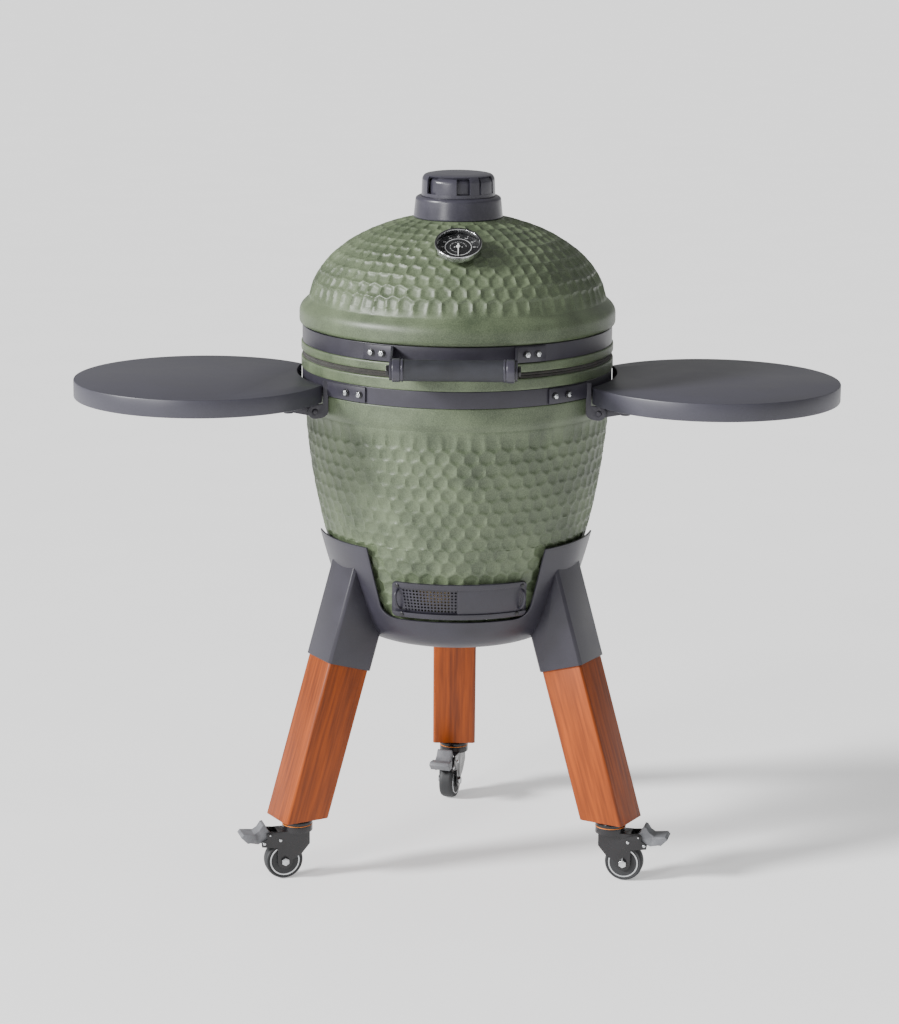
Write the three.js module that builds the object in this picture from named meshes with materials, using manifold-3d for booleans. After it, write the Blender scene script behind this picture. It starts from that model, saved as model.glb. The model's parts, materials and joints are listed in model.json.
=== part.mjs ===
// Ceramic charcoal grill on a three-legged stand with casters and two folding side shelves.
// Millimetres, +Z up, front towards -Y. The grill's own axis is the Z axis while it is built.
import * as THREE from "three";
import { mergeVertices } from "three/addons/utils/BufferGeometryUtils.js";
import Module from "manifold-3d";

const wasm = await Module();
wasm.setup();

// ---------- clearances ----------
const GAP = 0.3; // between pieces that rest on each other
const RUN = 0.4; // between a pin and the hole that turns on it
const RING_SIDES = 36; // sides of every piece turned about the grill's axis, alike so that faces nest
const SLIDE_SIDES = 108; // finer, for the plates that slide round the bowl
const SMALL_SIDES = 24; // sides of the small turned pieces

// ---------- heights of the whole grill ----------
const CASTER_HEIGHT = 107; // floor to the cut end of a leg
const STAND_RISE = 297; // cut end of a leg to the underside of the bowl
const BOWL_HEIGHT = 476; // underside of the bowl to its lip

// ---------- ceramic body ----------
const LIP_R = 264;
const FLARE_R = 267; // the lid's swelling above its band
const SKIRT_R = 262; // smooth wall under the base band
const SHOULDER_R = 258; // top of the dimpled wall, and the floor of both band grooves
const BELLY_R = 247.8; // pull of the side's curve
const WAIST_R = 186;
const CORNER_R = 170;
const FOOT_R = 120;
const WAIST_RISE = 51; // waist above the underside
const SHOULDER_DROP = 90; // shoulder below the lip
const SKIRT_DROP = 80; // step of the smooth wall below the lip
const CERAMIC_WALL = 25;
const FLOOR_WALL = 28;
const LIP_HEIGHT = 19;
const LID_LIP_HEIGHT = 15;
const DOME_R = 252; // semi-axes of the dome
const DOME_RISE = 154;
const DOME_SPRING = 75; // the dome's centre above the lid's lower edge
const VENT_SEAT_R = 75;
const THROAT_R = 48;
const GASKET_THICKNESS = 4.4;
const GASKET_WIDTH = 20;

// ---------- steel bands ----------
const BAND_WIDTH = 28;
const BAND_THICKNESS = 3.7;
const GROOVE_SPARE = 0.3; // groove wider than the band, each side
const FLANGE_THICKNESS = 3;

// ---------- fire parts inside ----------
const FIRE_CLEARANCE = 5;
const FIRE_WALL = 20;
const FIRE_BOX_HEIGHT = 324;
const FIRE_RING_HEIGHT = 102;
const GRATE_RISE = 108; // charcoal grate above the fire box's foot
const GRATE_THICKNESS = 8;
const LEDGE_WIDTH = 22;
const GRID_BAR = 6;
const GRID_PITCH = 30;

// ---------- vent ----------
const COLLAR_HEIGHT = 36;
const COLLAR_TOP_R = 71.7;
const CHIMNEY_WALL = 4;
const CHIMNEY_HEIGHT = 62;
const CAP_R = 62;
const CAP_HEIGHT = 39;
const CAP_WALL = 3;
const CAP_WINDOWS = [[-58, 18.5], [34, 68]]; // degrees from the front, repeated half a turn round
const CHIMNEY_WINDOW = [74, 116]; // shut while the cap is at rest

// ---------- thermometer ----------
const GAUGE_REACH = 175; // distance of its seat from the axis
const GAUGE_R = 38.5;
const GAUGE_STANDOFF = 7;
const GAUGE_DEPTH = 14;
const GAUGE_WALL = 2.5;
const PROBE_R = 3;
const PROBE_LENGTH = 95;

// ---------- lid handle ----------
const HANDLE_TURN = -1.2; // degrees about the axis
const HANDLE_REACH = 310; // grip's centre from the axis
const GRIP_R = 17.5;
const GRIP_HALF = 84;
const COLLAR_LENGTH = 14;
const GRIP_COLLAR_R = 19;
const HANDLE_PLATE = 4;
const HANDLE_ROD_R = 5;

// ---------- lid hinge ----------
const HINGE_REACH = 290; // pin from the axis
const HINGE_PIN_R = 5;
const HINGE_EAR = 5;
const HINGE_EAR_R = 12;
const HINGE_HALF = 40; // inner face of the base's ears from the middle
const SPRING_R = 13;

// ---------- draft door ----------
const DRAFT_TURN = 2;
const DRAFT_RISE = 60; // frame's lower edge above the underside of the bowl
const DRAFT_HEIGHT = 64;
const DRAFT_HALF = 112;
const SHEET = 1.2;
const DRAFT_RAIL = 4.5;
const DRAFT_PLATE_RUN = 2; // air between the door and the screen it slides over
const WINDOW_FROM = -23; // degrees
const WINDOW_TO = -4;
const WINDOW_MARGIN = 9;
const DOOR_FROM = -1.2;
const DOOR_TO = 30.5;
const PULL_R = 2.2;
const PULL_HALF = 17;
const PULL_REACH = 14;

// ---------- stand ----------
const CRADLE_CLEARANCE = 6;
const CRADLE_SHEET = 3;
const CRADLE_HEIGHT = 178;
const CRADLE_HOLE_R = 60;
const NOTCH_TOP_HALF = 149;
const NOTCH_FOOT_HALF = 120;
const NOTCH_RISE = 54; // notch's floor above the underside of the bowl
const LEG_SIDE = 77;
const LEG_FOOT_R = 308; // caster's swivel from the axis
const LEG_TOP_R = 217; // leg's middle from the axis at the underside of the bowl
const LEG_EDGE = 3;
const SOCKET_WALL = 3;
const SOCKET_PLAY = 0.5;
const SOCKET_DROP = 38; // mouth below the underside of the bowl, along the leg
const LEG_INSERT = 33;
const LEG_AZIMUTHS = { left: 210, right: 330, rear: 90 };

// ---------- casters ----------
const WHEEL_R = 32.5;
const WHEEL_WIDTH = 26;
const WHEEL_TRAIL = 25;
const AXLE_R = 4;
const FORK_PLATE = 2.5;
const FORK_PLAY = 1.5;
const RACE_R = 26;
const RACE_HEIGHT = 12;
const SEAL = 1.2;
const CASTER_STEM_R = 6;
const CASTER_STEM = 45;
const PEDAL_PIN_R = 3.3;
const CASTER_TRAILS = { left: 195.8, right: -12.9, rear: 254 }; // degrees from +X

// ---------- side shelves ----------
const SHELF_R = 214;
const SHELF_REACH = 435;
const SHELF_THICKNESS = 30;
const SHELF_DROP = 28; // top below the lip
const SHELF_SWEEP = 11.8; // degrees forward of straight sideways
const SHELF_MARGIN = 7; // board's hollow edge from the lip
const ARM_OFFSET = 110;
const ARM_PLATE = 4;
const SHELF_PIN_R = 4;
const SHELF_PIN_REACH = 262;
const SHELF_PIN_DROP = 14; // pin below the underside of the board
const SHELF_NOSE_R = 12; // bracket's round end about the pin, inside the board's sweep
const CARRIER_LENGTH = 300;

// ---------- places worked out from the sizes above ----------
const BASE_Z = CASTER_HEIGHT + STAND_RISE;
const LIP_Z = BASE_Z + BOWL_HEIGHT;
const WAIST_Z = BASE_Z + WAIST_RISE;
const SHOULDER_Z = LIP_Z - SHOULDER_DROP;
const SKIRT_Z = LIP_Z - SKIRT_DROP;
const BASE_BAND_Z = LIP_Z - LIP_HEIGHT - GROOVE_SPARE - BAND_WIDTH;
const LID_Z = LIP_Z + 2 * GASKET_THICKNESS + 4 * GAP;
const LID_BAND_Z = LID_Z + LID_LIP_HEIGHT + GROOVE_SPARE;
const BAND_R = SHOULDER_R + GAP + BAND_THICKNESS;
const FLANGE_R = (BAND_R + GAP) / Math.cos(Math.PI / RING_SIDES); // clears the band's corners at any angle
const DOME_Z = LID_Z + DOME_SPRING;
const PIN_Z = (LIP_Z + LID_Z) / 2;
const NOTCH_AZIMUTHS = [30, 150, 270];
const LEG_LEAN = Math.atan2(LEG_FOOT_R - LEG_TOP_R, STAND_RISE);

const FINISHES = {
  ceramic: { color: 0x76806a, roughness: 0.55, metalness: 0 },
  fireclay: { color: 0xcbb694, roughness: 0.9, metalness: 0 },
  powderCoat: { color: 0x3f4047, roughness: 0.5, metalness: 0.3 },
  castIron: { color: 0x2c2c2e, roughness: 0.7, metalness: 0.6 },
  steel: { color: 0xb8b9bb, roughness: 0.3, metalness: 1 },
  felt: { color: 0x24231f, roughness: 1, metalness: 0 },
  timber: { color: 0xab5b33, roughness: 0.5, metalness: 0 },
  board: { color: 0x4b4b50, roughness: 0.45, metalness: 0.1 },
  rubber: { color: 0x35363a, roughness: 0.7, metalness: 0 },
  dial: { color: 0x15161a, roughness: 0.5, metalness: 0 },
  glass: { color: 0xdfe6ea, roughness: 0.05, metalness: 0 },
  nylon: { color: 0x6d6e72, roughness: 0.6, metalness: 0 },
};

// ---------- helpers ----------
const radians = THREE.MathUtils.degToRad;

/** Merges shared corners and drops the triangles that have closed up into a line. */
function weld(geometry) {
  const bare = geometry.clone();
  bare.deleteAttribute("normal");
  bare.deleteAttribute("uv");
  const merged = mergeVertices(bare, 1e-3);
  const kept = [];
  for (let i = 0; i < merged.index.count; i += 3) {
    const [a, b, c] = [0, 1, 2].map((k) => merged.index.getX(i + k));
    if (a !== b && b !== c && c !== a) {
      kept.push(a, b, c);
    }
  }
  merged.setIndex(kept);
  return merged;
}

function toSolid(geometry) {
  const welded = weld(geometry);
  const mesh = new wasm.Mesh({
    numProp: 3,
    vertProperties: new Float32Array(welded.attributes.position.array),
    triVerts: new Uint32Array(welded.index.array),
  });
  return new wasm.Manifold(mesh);
}

function toGeometry(solid) {
  const mesh = solid.getMesh();
  const geometry = new THREE.BufferGeometry();
  geometry.setAttribute("position", new THREE.BufferAttribute(mesh.vertProperties, 3));
  geometry.setIndex(new THREE.BufferAttribute(mesh.triVerts, 1));
  geometry.computeVertexNormals();
  return geometry;
}

const join = (...parts) => toGeometry(parts.map(toSolid).reduce((a, b) => a.add(b)));
const cut = (body, ...tools) => toGeometry(tools.map(toSolid).reduce((a, b) => a.subtract(b), toSolid(body)));
const common = (a, b) => toGeometry(toSolid(a).intersect(toSolid(b)));

/** Turns an outline of [radius, height] points, closed on itself, once round the Z axis. */
function revolve(outline, sides = RING_SIDES) {
  const points = outline.map(([r, z]) => new THREE.Vector2(r, z));
  if (THREE.ShapeUtils.area(points) < 0) {
    points.reverse();
  }
  points.push(points[0].clone());
  return weld(new THREE.LatheGeometry(points, sides).rotateX(Math.PI / 2));
}

function shapeOf(points) {
  return new THREE.Shape(points.map(([x, y]) => new THREE.Vector2(x, y)));
}

/** Extrudes a shape drawn in (Y, Z) along X, from start. */
function extrudeX(shape, depth, start) {
  const block = new THREE.ExtrudeGeometry(shape, { depth, bevelEnabled: false, curveSegments: 6 });
  return block.rotateX(Math.PI / 2).rotateZ(Math.PI / 2).translate(start, 0, 0);
}

/** Extrudes a shape drawn in (X, Z) along Y, from start. */
function extrudeY(shape, depth, start) {
  const block = new THREE.ExtrudeGeometry(shape, { depth, bevelEnabled: false, curveSegments: 4 });
  return block.rotateX(Math.PI / 2).translate(0, start + depth, 0);
}

/** Extrudes a shape drawn in (X, Y) along Z, from start. */
function extrudeZ(shape, depth, start) {
  return new THREE.ExtrudeGeometry(shape, { depth, bevelEnabled: false }).translate(0, 0, start);
}

function rodZ(radius, from, to, sides = 12) {
  return new THREE.CylinderGeometry(radius, radius, to - from, sides)
    .rotateX(Math.PI / 2)
    .translate(0, 0, (from + to) / 2);
}

const rodX = (radius, from, to, sides) => rodZ(radius, from, to, sides).rotateY(Math.PI / 2);
const rodY = (radius, from, to, sides) => rodZ(radius, from, to, sides).rotateX(-Math.PI / 2);

function box(x, y, z) {
  return new THREE.BoxGeometry(x[1] - x[0], y[1] - y[0], z[1] - z[0])
    .translate((x[0] + x[1]) / 2, (y[0] + y[1]) / 2, (z[0] + z[1]) / 2);
}

function roundedRectangle(left, right, low, high, r) {
  const shape = new THREE.Shape();
  shape.absarc(right - r, low + r, r, -Math.PI / 2, 0);
  shape.absarc(right - r, high - r, r, 0, Math.PI / 2);
  shape.absarc(left + r, high - r, r, Math.PI / 2, Math.PI);
  shape.absarc(left + r, low + r, r, Math.PI, Math.PI * 1.5);
  return shape;
}

/** A wedge about the Z axis between two angles in degrees, counted from +X. */
function wedge(from, to, reach, low, high) {
  const middle = radians((from + to) / 2);
  const far = reach / Math.cos(radians((to - from) / 2));
  const corners = [
    [0, 0],
    [far * Math.cos(radians(from)), far * Math.sin(radians(from))],
    [1.2 * far * Math.cos(middle), 1.2 * far * Math.sin(middle)],
    [far * Math.cos(radians(to)), far * Math.sin(radians(to))],
  ];
  return extrudeZ(shapeOf(corners), high - low, low);
}

function piece(name, geometry, finish) {
  const mesh = new THREE.Mesh(geometry, new THREE.MeshStandardMaterial(FINISHES[finish]));
  mesh.name = name;
  return mesh;
}

function group(...children) {
  return new THREE.Group().add(...children);
}

// ---------- outlines of the ceramic body ----------
/** Radius of the bowl's dimpled wall at a height between the waist and the shoulder. */
function bowlRadius(z) {
  const t = (SHOULDER_Z - z) / (SHOULDER_Z - WAIST_Z);
  return SHOULDER_R * (1 - t) ** 2 + 2 * BELLY_R * t * (1 - t) + WAIST_R * t ** 2;
}

/** The bowl's outside from a height down to its foot, moved out by side and down by under. */
function bowlSide(top, side, under, steps) {
  const points = [];
  for (let i = 0; i < steps; i += 1) {
    const z = top + ((WAIST_Z - top) * i) / steps;
    points.push([bowlRadius(z) + side, z]);
  }
  const corner = new THREE.QuadraticBezierCurve(
    new THREE.Vector2(WAIST_R + side, WAIST_Z),
    new THREE.Vector2(CORNER_R + side, BASE_Z - under),
    new THREE.Vector2(FOOT_R + side, BASE_Z - under),
  );
  corner.getPoints(3).forEach((p) => points.push([p.x, p.y]));
  return points;
}

/** Radius of an ellipse about the dome's centre, at a height. */
function domeRadius(z, wall = 0) {
  const up = (z - DOME_Z) / (DOME_RISE - wall);
  return (DOME_R - wall) * Math.sqrt(1 - up ** 2);
}

function domeHeight(r, wall = 0) {
  return DOME_Z + (DOME_RISE - wall) * Math.sqrt(1 - (r / (DOME_R - wall)) ** 2);
}

/** Angle of the dome's surface normal from the vertical, at a distance from the axis. */
function domeTilt(r) {
  return Math.atan2(r / DOME_R ** 2, (domeHeight(r) - DOME_Z) / DOME_RISE ** 2);
}

// ---------- base ----------
/** The block that the air inlet takes out of the bowl and the fire box. */
function inletBlock(margin) {
  const low = BASE_Z + DRAFT_RISE + WINDOW_MARGIN - margin;
  const high = BASE_Z + DRAFT_RISE + DRAFT_HEIGHT - WINDOW_MARGIN + margin;
  const from = WINDOW_FROM - 90 - margin / 4;
  const to = WINDOW_TO - 90 + margin / 4;
  return wedge(from, to, LIP_R, low, high).rotateZ(radians(DRAFT_TURN));
}

function bowl() {
  const inside = SHOULDER_R - CERAMIC_WALL;
  const grooveLow = BASE_BAND_Z - GROOVE_SPARE;
  const outline = [
    [inside, LIP_Z],
    [LIP_R, LIP_Z],
    [LIP_R, LIP_Z - LIP_HEIGHT],
    [SHOULDER_R, LIP_Z - LIP_HEIGHT],
    [SHOULDER_R, grooveLow],
    [SKIRT_R, grooveLow],
    [SKIRT_R, SKIRT_Z],
    ...bowlSide(SHOULDER_Z, 0, 0, 6),
    [0, BASE_Z],
    [0, BASE_Z + FLOOR_WALL],
    [FOOT_R, BASE_Z + FLOOR_WALL],
    [WAIST_R - CERAMIC_WALL, WAIST_Z],
    [bowlRadius((WAIST_Z + SHOULDER_Z) / 2) - CERAMIC_WALL, (WAIST_Z + SHOULDER_Z) / 2],
    [inside, SHOULDER_Z],
  ];
  return piece("bowl", cut(revolve(outline), inletBlock(0)), "ceramic");
}

function fireBox() {
  const foot = BASE_Z + FLOOR_WALL + GAP;
  const top = foot + FIRE_BOX_HEIGHT;
  const ledge = foot + GRATE_RISE;
  const back = CERAMIC_WALL + FIRE_CLEARANCE;
  const outside = [foot + WAIST_RISE, (foot + top) / 2, top].map((z) => [bowlRadius(z) - back, z]);
  const ledgeR = bowlRadius(ledge) - back - FIRE_WALL;
  const footR = FOOT_R - FIRE_CLEARANCE;
  const outline = [
    [footR - FIRE_WALL, foot],
    [footR, foot],
    ...outside,
    [bowlRadius(top) - back - FIRE_WALL, top],
    [ledgeR, ledge],
    [ledgeR - LEDGE_WIDTH, ledge],
  ];
  return piece("fire_box", cut(revolve(outline), inletBlock(4)), "fireclay");
}

function fireRing() {
  const low = BASE_Z + FLOOR_WALL + FIRE_BOX_HEIGHT + 2 * GAP;
  const outside = bowlRadius(low) - CERAMIC_WALL - FIRE_CLEARANCE;
  const outline = [
    [outside - FIRE_WALL, low],
    [outside, low],
    [outside, low + FIRE_RING_HEIGHT],
    [outside - FIRE_WALL, low + FIRE_RING_HEIGHT],
  ];
  return piece("fire_ring", revolve(outline), "fireclay");
}

function charcoalGrate() {
  const low = BASE_Z + FLOOR_WALL + GRATE_RISE + 2 * GAP;
  const radius = bowlRadius(low) - CERAMIC_WALL - FIRE_CLEARANCE - FIRE_WALL - 4;
  const slots = [];
  for (let row = -2; row <= 2; row += 1) {
    const half = radius - 24 - 9 * Math.abs(row);
    slots.push(box([-half, half], [row * 24 - 5, row * 24 + 5], [low - 1, low + GRATE_THICKNESS + 1]));
  }
  const disc = rodZ(radius, low, low + GRATE_THICKNESS, 32);
  return piece("charcoal_grate", cut(disc, ...slots), "castIron");
}

function cookingGrid() {
  const ringLow = BASE_Z + FLOOR_WALL + FIRE_BOX_HEIGHT + 2 * GAP;
  const low = ringLow + FIRE_RING_HEIGHT + GAP;
  const radius = bowlRadius(ringLow) - CERAMIC_WALL - FIRE_CLEARANCE - 3;
  const disc = rodZ(radius, low, low + GRID_BAR, RING_SIDES);
  const rim = cut(disc, rodZ(radius - GRID_BAR, low - 1, low + GRID_BAR + 1, RING_SIDES));
  const bars = [];
  const count = Math.floor((radius - GRID_BAR) / GRID_PITCH);
  for (let i = -count; i <= count; i += 1) {
    const x = i * GRID_PITCH;
    const half = Math.sqrt(radius ** 2 - x ** 2) - GRID_BAR / 2;
    bars.push(box([x - GRID_BAR / 3, x + GRID_BAR / 3], [-half, half], [low + 1, low + GRID_BAR - 1]));
  }
  const spine = box([3 - radius, radius - 3], [-GRID_BAR / 2, GRID_BAR / 2], [low, low + GRID_BAR - 0.5]);
  return piece("cooking_grid", join(rim, ...bars, spine), "steel");
}

function ring(name, inner, outer, low, height, finish) {
  const outline = [[inner, low], [outer, low], [outer, low + height], [inner, low + height]];
  return piece(name, revolve(outline), finish);
}

/** A plate bent round a band, between two angles from +X. */
function flange(from, to, low, margin = 1.5) {
  const inner = FLANGE_R;
  const outer = inner + FLANGE_THICKNESS;
  const [z0, z1] = [low + margin, low + BAND_WIDTH - margin];
  const full = revolve([[inner, z0], [outer, z0], [outer, z1], [inner, z1]]);
  return common(full, wedge(from, to, outer + 20, z0 - 1, z1 + 1));
}

// ---------- draft door ----------
/** A sheet that follows the bowl's wall, from one distance off it to another. */
function draftSheet(low, high, near, far) {
  const corners = [[low, near], [high, near], [high, far], [low, far]];
  return revolve(corners.map(([z, off]) => [bowlRadius(z) + off, z]), SLIDE_SIDES);
}

const DRAFT_LOW = BASE_Z + DRAFT_RISE;
const DRAFT_HIGH = DRAFT_LOW + DRAFT_HEIGHT;
const DRAFT_BACK = 0.8; // the frame stands this far off the bowl's flatter sides
const SCREEN_OFF = DRAFT_BACK + SHEET + 2 * GAP;
const DOOR_OFF = SCREEN_OFF + SHEET + DRAFT_PLATE_RUN;
const RAIL_OFF = DOOR_OFF + SHEET + 2 * GAP;

function draftFrame() {
  const outline = roundedRectangle(-DRAFT_HALF, DRAFT_HALF, DRAFT_LOW, DRAFT_HIGH, 8);
  const section = [
    [DRAFT_LOW, DRAFT_BACK],
    [DRAFT_HIGH, DRAFT_BACK],
    [DRAFT_HIGH, RAIL_OFF + SHEET],
    [DRAFT_HIGH - 2 * DRAFT_RAIL, RAIL_OFF + SHEET],
    [DRAFT_HIGH - 2 * DRAFT_RAIL, RAIL_OFF],
    [DRAFT_HIGH - DRAFT_RAIL, RAIL_OFF],
    [DRAFT_HIGH - DRAFT_RAIL, DRAFT_BACK + SHEET],
    [DRAFT_LOW + DRAFT_RAIL, DRAFT_BACK + SHEET],
    [DRAFT_LOW + DRAFT_RAIL, RAIL_OFF],
    [DRAFT_LOW + 2 * DRAFT_RAIL, RAIL_OFF],
    [DRAFT_LOW + 2 * DRAFT_RAIL, RAIL_OFF + SHEET],
    [DRAFT_LOW, RAIL_OFF + SHEET],
  ];
  const channel = revolve(section.map(([z, off]) => [bowlRadius(z) + off, z]), SLIDE_SIDES);
  const plate = common(channel, extrudeY(outline, LIP_R, -LIP_R - 60));
  const turned = plate.rotateZ(radians(DRAFT_TURN));
  return piece("draft_frame", cut(turned, inletBlock(0)), "powderCoat");
}

/** A small wire pull standing out of a sliding plate, at the front before it is turned. */
function pull(off) {
  const z = (DRAFT_LOW + DRAFT_HIGH) / 2;
  const face = -bowlRadius(z) - off - SHEET / 2;
  const lean = (bowlRadius(z + PULL_HALF) - bowlRadius(z - PULL_HALF)) / 2;
  const route = [];
  for (let i = 0; i <= 8; i += 1) {
    const turn = (Math.PI * i) / 8;
    const up = -Math.cos(turn);
    route.push(new THREE.Vector3(0, face - PULL_REACH * Math.sin(turn) - lean * up, z + PULL_HALF * up));
  }
  const section = new THREE.Shape().absarc(0, 0, PULL_R, 0, 2 * Math.PI);
  const path = new THREE.CatmullRomCurve3(route);
  return new THREE.ExtrudeGeometry(section, { extrudePath: path, steps: 10, curveSegments: 4 });
}

function slidingPlate(name, off, from, to, pullAt) {
  const low = DRAFT_LOW + DRAFT_RAIL + GAP;
  const high = DRAFT_HIGH - DRAFT_RAIL - GAP;
  const sheet = draftSheet(low, high, off, off + SHEET);
  const plate = common(sheet, wedge(from - 90, to - 90, LIP_R, low - 1, high + 1));
  const whole = join(plate, pull(off).rotateZ(radians(pullAt)));
  return piece(name, whole.rotateZ(radians(DRAFT_TURN)), "powderCoat");
}

// ---------- lid ----------
function domeLid() {
  const inside = SHOULDER_R - CERAMIC_WALL;
  const grooveHigh = LID_BAND_Z + BAND_WIDTH + GROOVE_SPARE;
  const neck = DOME_Z + 13;
  const flareHigh = grooveHigh + 28;
  const outline = [
    [inside, LID_Z],
    [LIP_R, LID_Z],
    [LIP_R, LID_Z + LID_LIP_HEIGHT],
    [SHOULDER_R, LID_Z + LID_LIP_HEIGHT],
    [SHOULDER_R, grooveHigh],
    [FLARE_R, grooveHigh + 5],
    [FLARE_R, flareHigh],
  ];
  const steps = 7;
  for (let i = 0; i <= steps; i += 1) {
    const angle = Math.acos(domeRadius(neck) / DOME_R);
    const last = Math.acos(VENT_SEAT_R / DOME_R);
    const turn = angle + ((last - angle) * i) / steps;
    outline.push([DOME_R * Math.cos(turn), DOME_Z + DOME_RISE * Math.sin(turn)]);
  }
  const seat = outline[outline.length - 1][1];
  outline.push([THROAT_R, seat], [THROAT_R, domeHeight(THROAT_R, CERAMIC_WALL)]);
  for (let i = 1; i <= 4; i += 1) {
    const from = Math.acos(THROAT_R / (DOME_R - CERAMIC_WALL));
    const turn = from * (1 - i / 4);
    const r = (DOME_R - CERAMIC_WALL) * Math.cos(turn);
    outline.push([r, DOME_Z + (DOME_RISE - CERAMIC_WALL) * Math.sin(turn)]);
  }
  const tilt = domeTilt(GAUGE_REACH);
  const hole = rodZ(PROBE_R + 2, -2 * CERAMIC_WALL, 10)
    .rotateX(tilt)
    .translate(0, -GAUGE_REACH, domeHeight(GAUGE_REACH));
  return piece("dome_lid", cut(revolve(outline), hole), "ceramic");
}

function ventSeatHeight() {
  return DOME_Z + DOME_RISE * Math.sqrt(1 - (VENT_SEAT_R / DOME_R) ** 2);
}

/** Blocks that cut windows between the given angles, counted from the front, and half a turn round. */
function windows(spans, low, high) {
  const blocks = [];
  for (const [from, to] of spans) {
    for (const half of [0, 180]) {
      blocks.push(wedge(from - 90 + half, to - 90 + half, CAP_R + 20, low, high));
    }
  }
  return blocks;
}

function ventCollar() {
  const low = ventSeatHeight() + GAP;
  const shoulder = low + COLLAR_HEIGHT;
  const top = low + CHIMNEY_HEIGHT;
  const inner = THROAT_R - CHIMNEY_WALL;
  const outline = [
    [inner, low],
    [VENT_SEAT_R, low],
    [COLLAR_TOP_R, shoulder - 3],
    [COLLAR_TOP_R - 3, shoulder],
    [THROAT_R, shoulder],
    [THROAT_R, top],
    [inner, top],
  ];
  const holes = windows([CHIMNEY_WINDOW], shoulder + 5, top - 4);
  return piece("vent_collar", cut(revolve(outline), ...holes), "castIron");
}

function ventCap() {
  const low = ventSeatHeight() + COLLAR_HEIGHT + 2 * GAP;
  const top = low + CAP_HEIGHT;
  const inner = CAP_R - CAP_WALL;
  const outline = [
    [CAP_R - CAP_WALL, low],
    [CAP_R, low],
    [CAP_R - 1, top - 10],
    [CAP_R - 5, top - 4],
    [CAP_R - 18, top - 1],
    [0, top],
    [0, top - 8],
    [inner - 12, top - 8],
    [inner - 1, top - 11],
  ];
  const holes = windows(CAP_WINDOWS, low + 6, top - 9);
  return piece("vent_cap", cut(revolve(outline), ...holes), "castIron");
}

function thermometer() {
  const floor = GAUGE_STANDOFF + GAUGE_WALL;
  const rim = GAUGE_STANDOFF + GAUGE_DEPTH;
  const inner = GAUGE_R - GAUGE_WALL;
  const shell = revolve([
    [PROBE_R + GAP, GAUGE_STANDOFF],
    [GAUGE_R - 2, GAUGE_STANDOFF],
    [GAUGE_R, GAUGE_STANDOFF + 3],
    [GAUGE_R, rim - 1.5],
    [GAUGE_R - 1.5, rim],
    [inner - 1, rim],
    [inner, rim - 2],
    [inner, floor],
    [PROBE_R + GAP, floor],
  ], SMALL_SIDES);
  const disc = cut(rodZ(inner - 1, floor + GAP, floor + GAP + 1, SMALL_SIDES), rodZ(2, floor, floor + 3));
  const lens = rodZ(inner - 2, rim - 4, rim - 2, SMALL_SIDES);
  const probe = join(
    rodZ(PROBE_R, -PROBE_LENGTH, GAUGE_STANDOFF - GAP),
    rodZ(PROBE_R * 2.6, 1, GAUGE_STANDOFF - GAP, 6),
    rodZ(PROBE_R * 2.6, -CERAMIC_WALL - 12, -CERAMIC_WALL - 6, 6),
  );
  const needleLow = floor + GAP + 1 + 2 * GAP;
  const blade = shapeOf([[-1.4, 8], [1.4, 8], [1, -inner + 12], [0, -inner + 9], [-1, -inner + 12]]);
  const needle = join(extrudeZ(blade, 0.8, needleLow), rodZ(3.2, needleLow, needleLow + 1.8));
  const gauge = group(
    piece("thermometer_case", shell, "steel"),
    piece("thermometer_dial", disc, "dial"),
    piece("thermometer_glass", lens, "glass"),
    piece("thermometer_probe", probe, "steel"),
    piece("thermometer_needle", needle, "steel"),
  );
  gauge.rotation.x = domeTilt(GAUGE_REACH);
  gauge.position.set(0, -GAUGE_REACH, domeHeight(GAUGE_REACH));
  return gauge;
}

// ---------- handle ----------
const HANDLE_Z = LID_BAND_Z - 1;
const HANDLE_ARM_X = GRIP_HALF + COLLAR_LENGTH + GAP;

function handleBracket(side) {
  const sign = side === "left" ? -1 : 1;
  const inner = THREE.MathUtils.radToDeg(Math.asin(HANDLE_ARM_X / FLANGE_R));
  const angles = [inner, inner + 12].map((a) => -90 + sign * a).sort((a, b) => a - b);
  const strap = flange(angles[0], angles[1], LID_BAND_Z);
  const back = -Math.sqrt(FLANGE_R ** 2 - HANDLE_ARM_X ** 2) - 1;
  const arm = new THREE.Shape();
  arm.moveTo(back, LID_BAND_Z + 1.5);
  arm.lineTo(back, LID_BAND_Z + BAND_WIDTH - 1.5);
  arm.lineTo(-HANDLE_REACH + 8, HANDLE_Z + GRIP_R);
  arm.absarc(-HANDLE_REACH, HANDLE_Z, GRIP_R - 1, Math.PI / 3, Math.PI * 1.6);
  const start = sign > 0 ? HANDLE_ARM_X : -HANDLE_ARM_X - HANDLE_PLATE;
  const hole = rodX(HANDLE_ROD_R + GAP, start - 5, start + 10).translate(0, -HANDLE_REACH, HANDLE_Z);
  const whole = cut(join(strap, extrudeX(arm, HANDLE_PLATE, start)), hole);
  return piece(`handle_bracket_${side}`, whole, "powderCoat");
}

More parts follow.
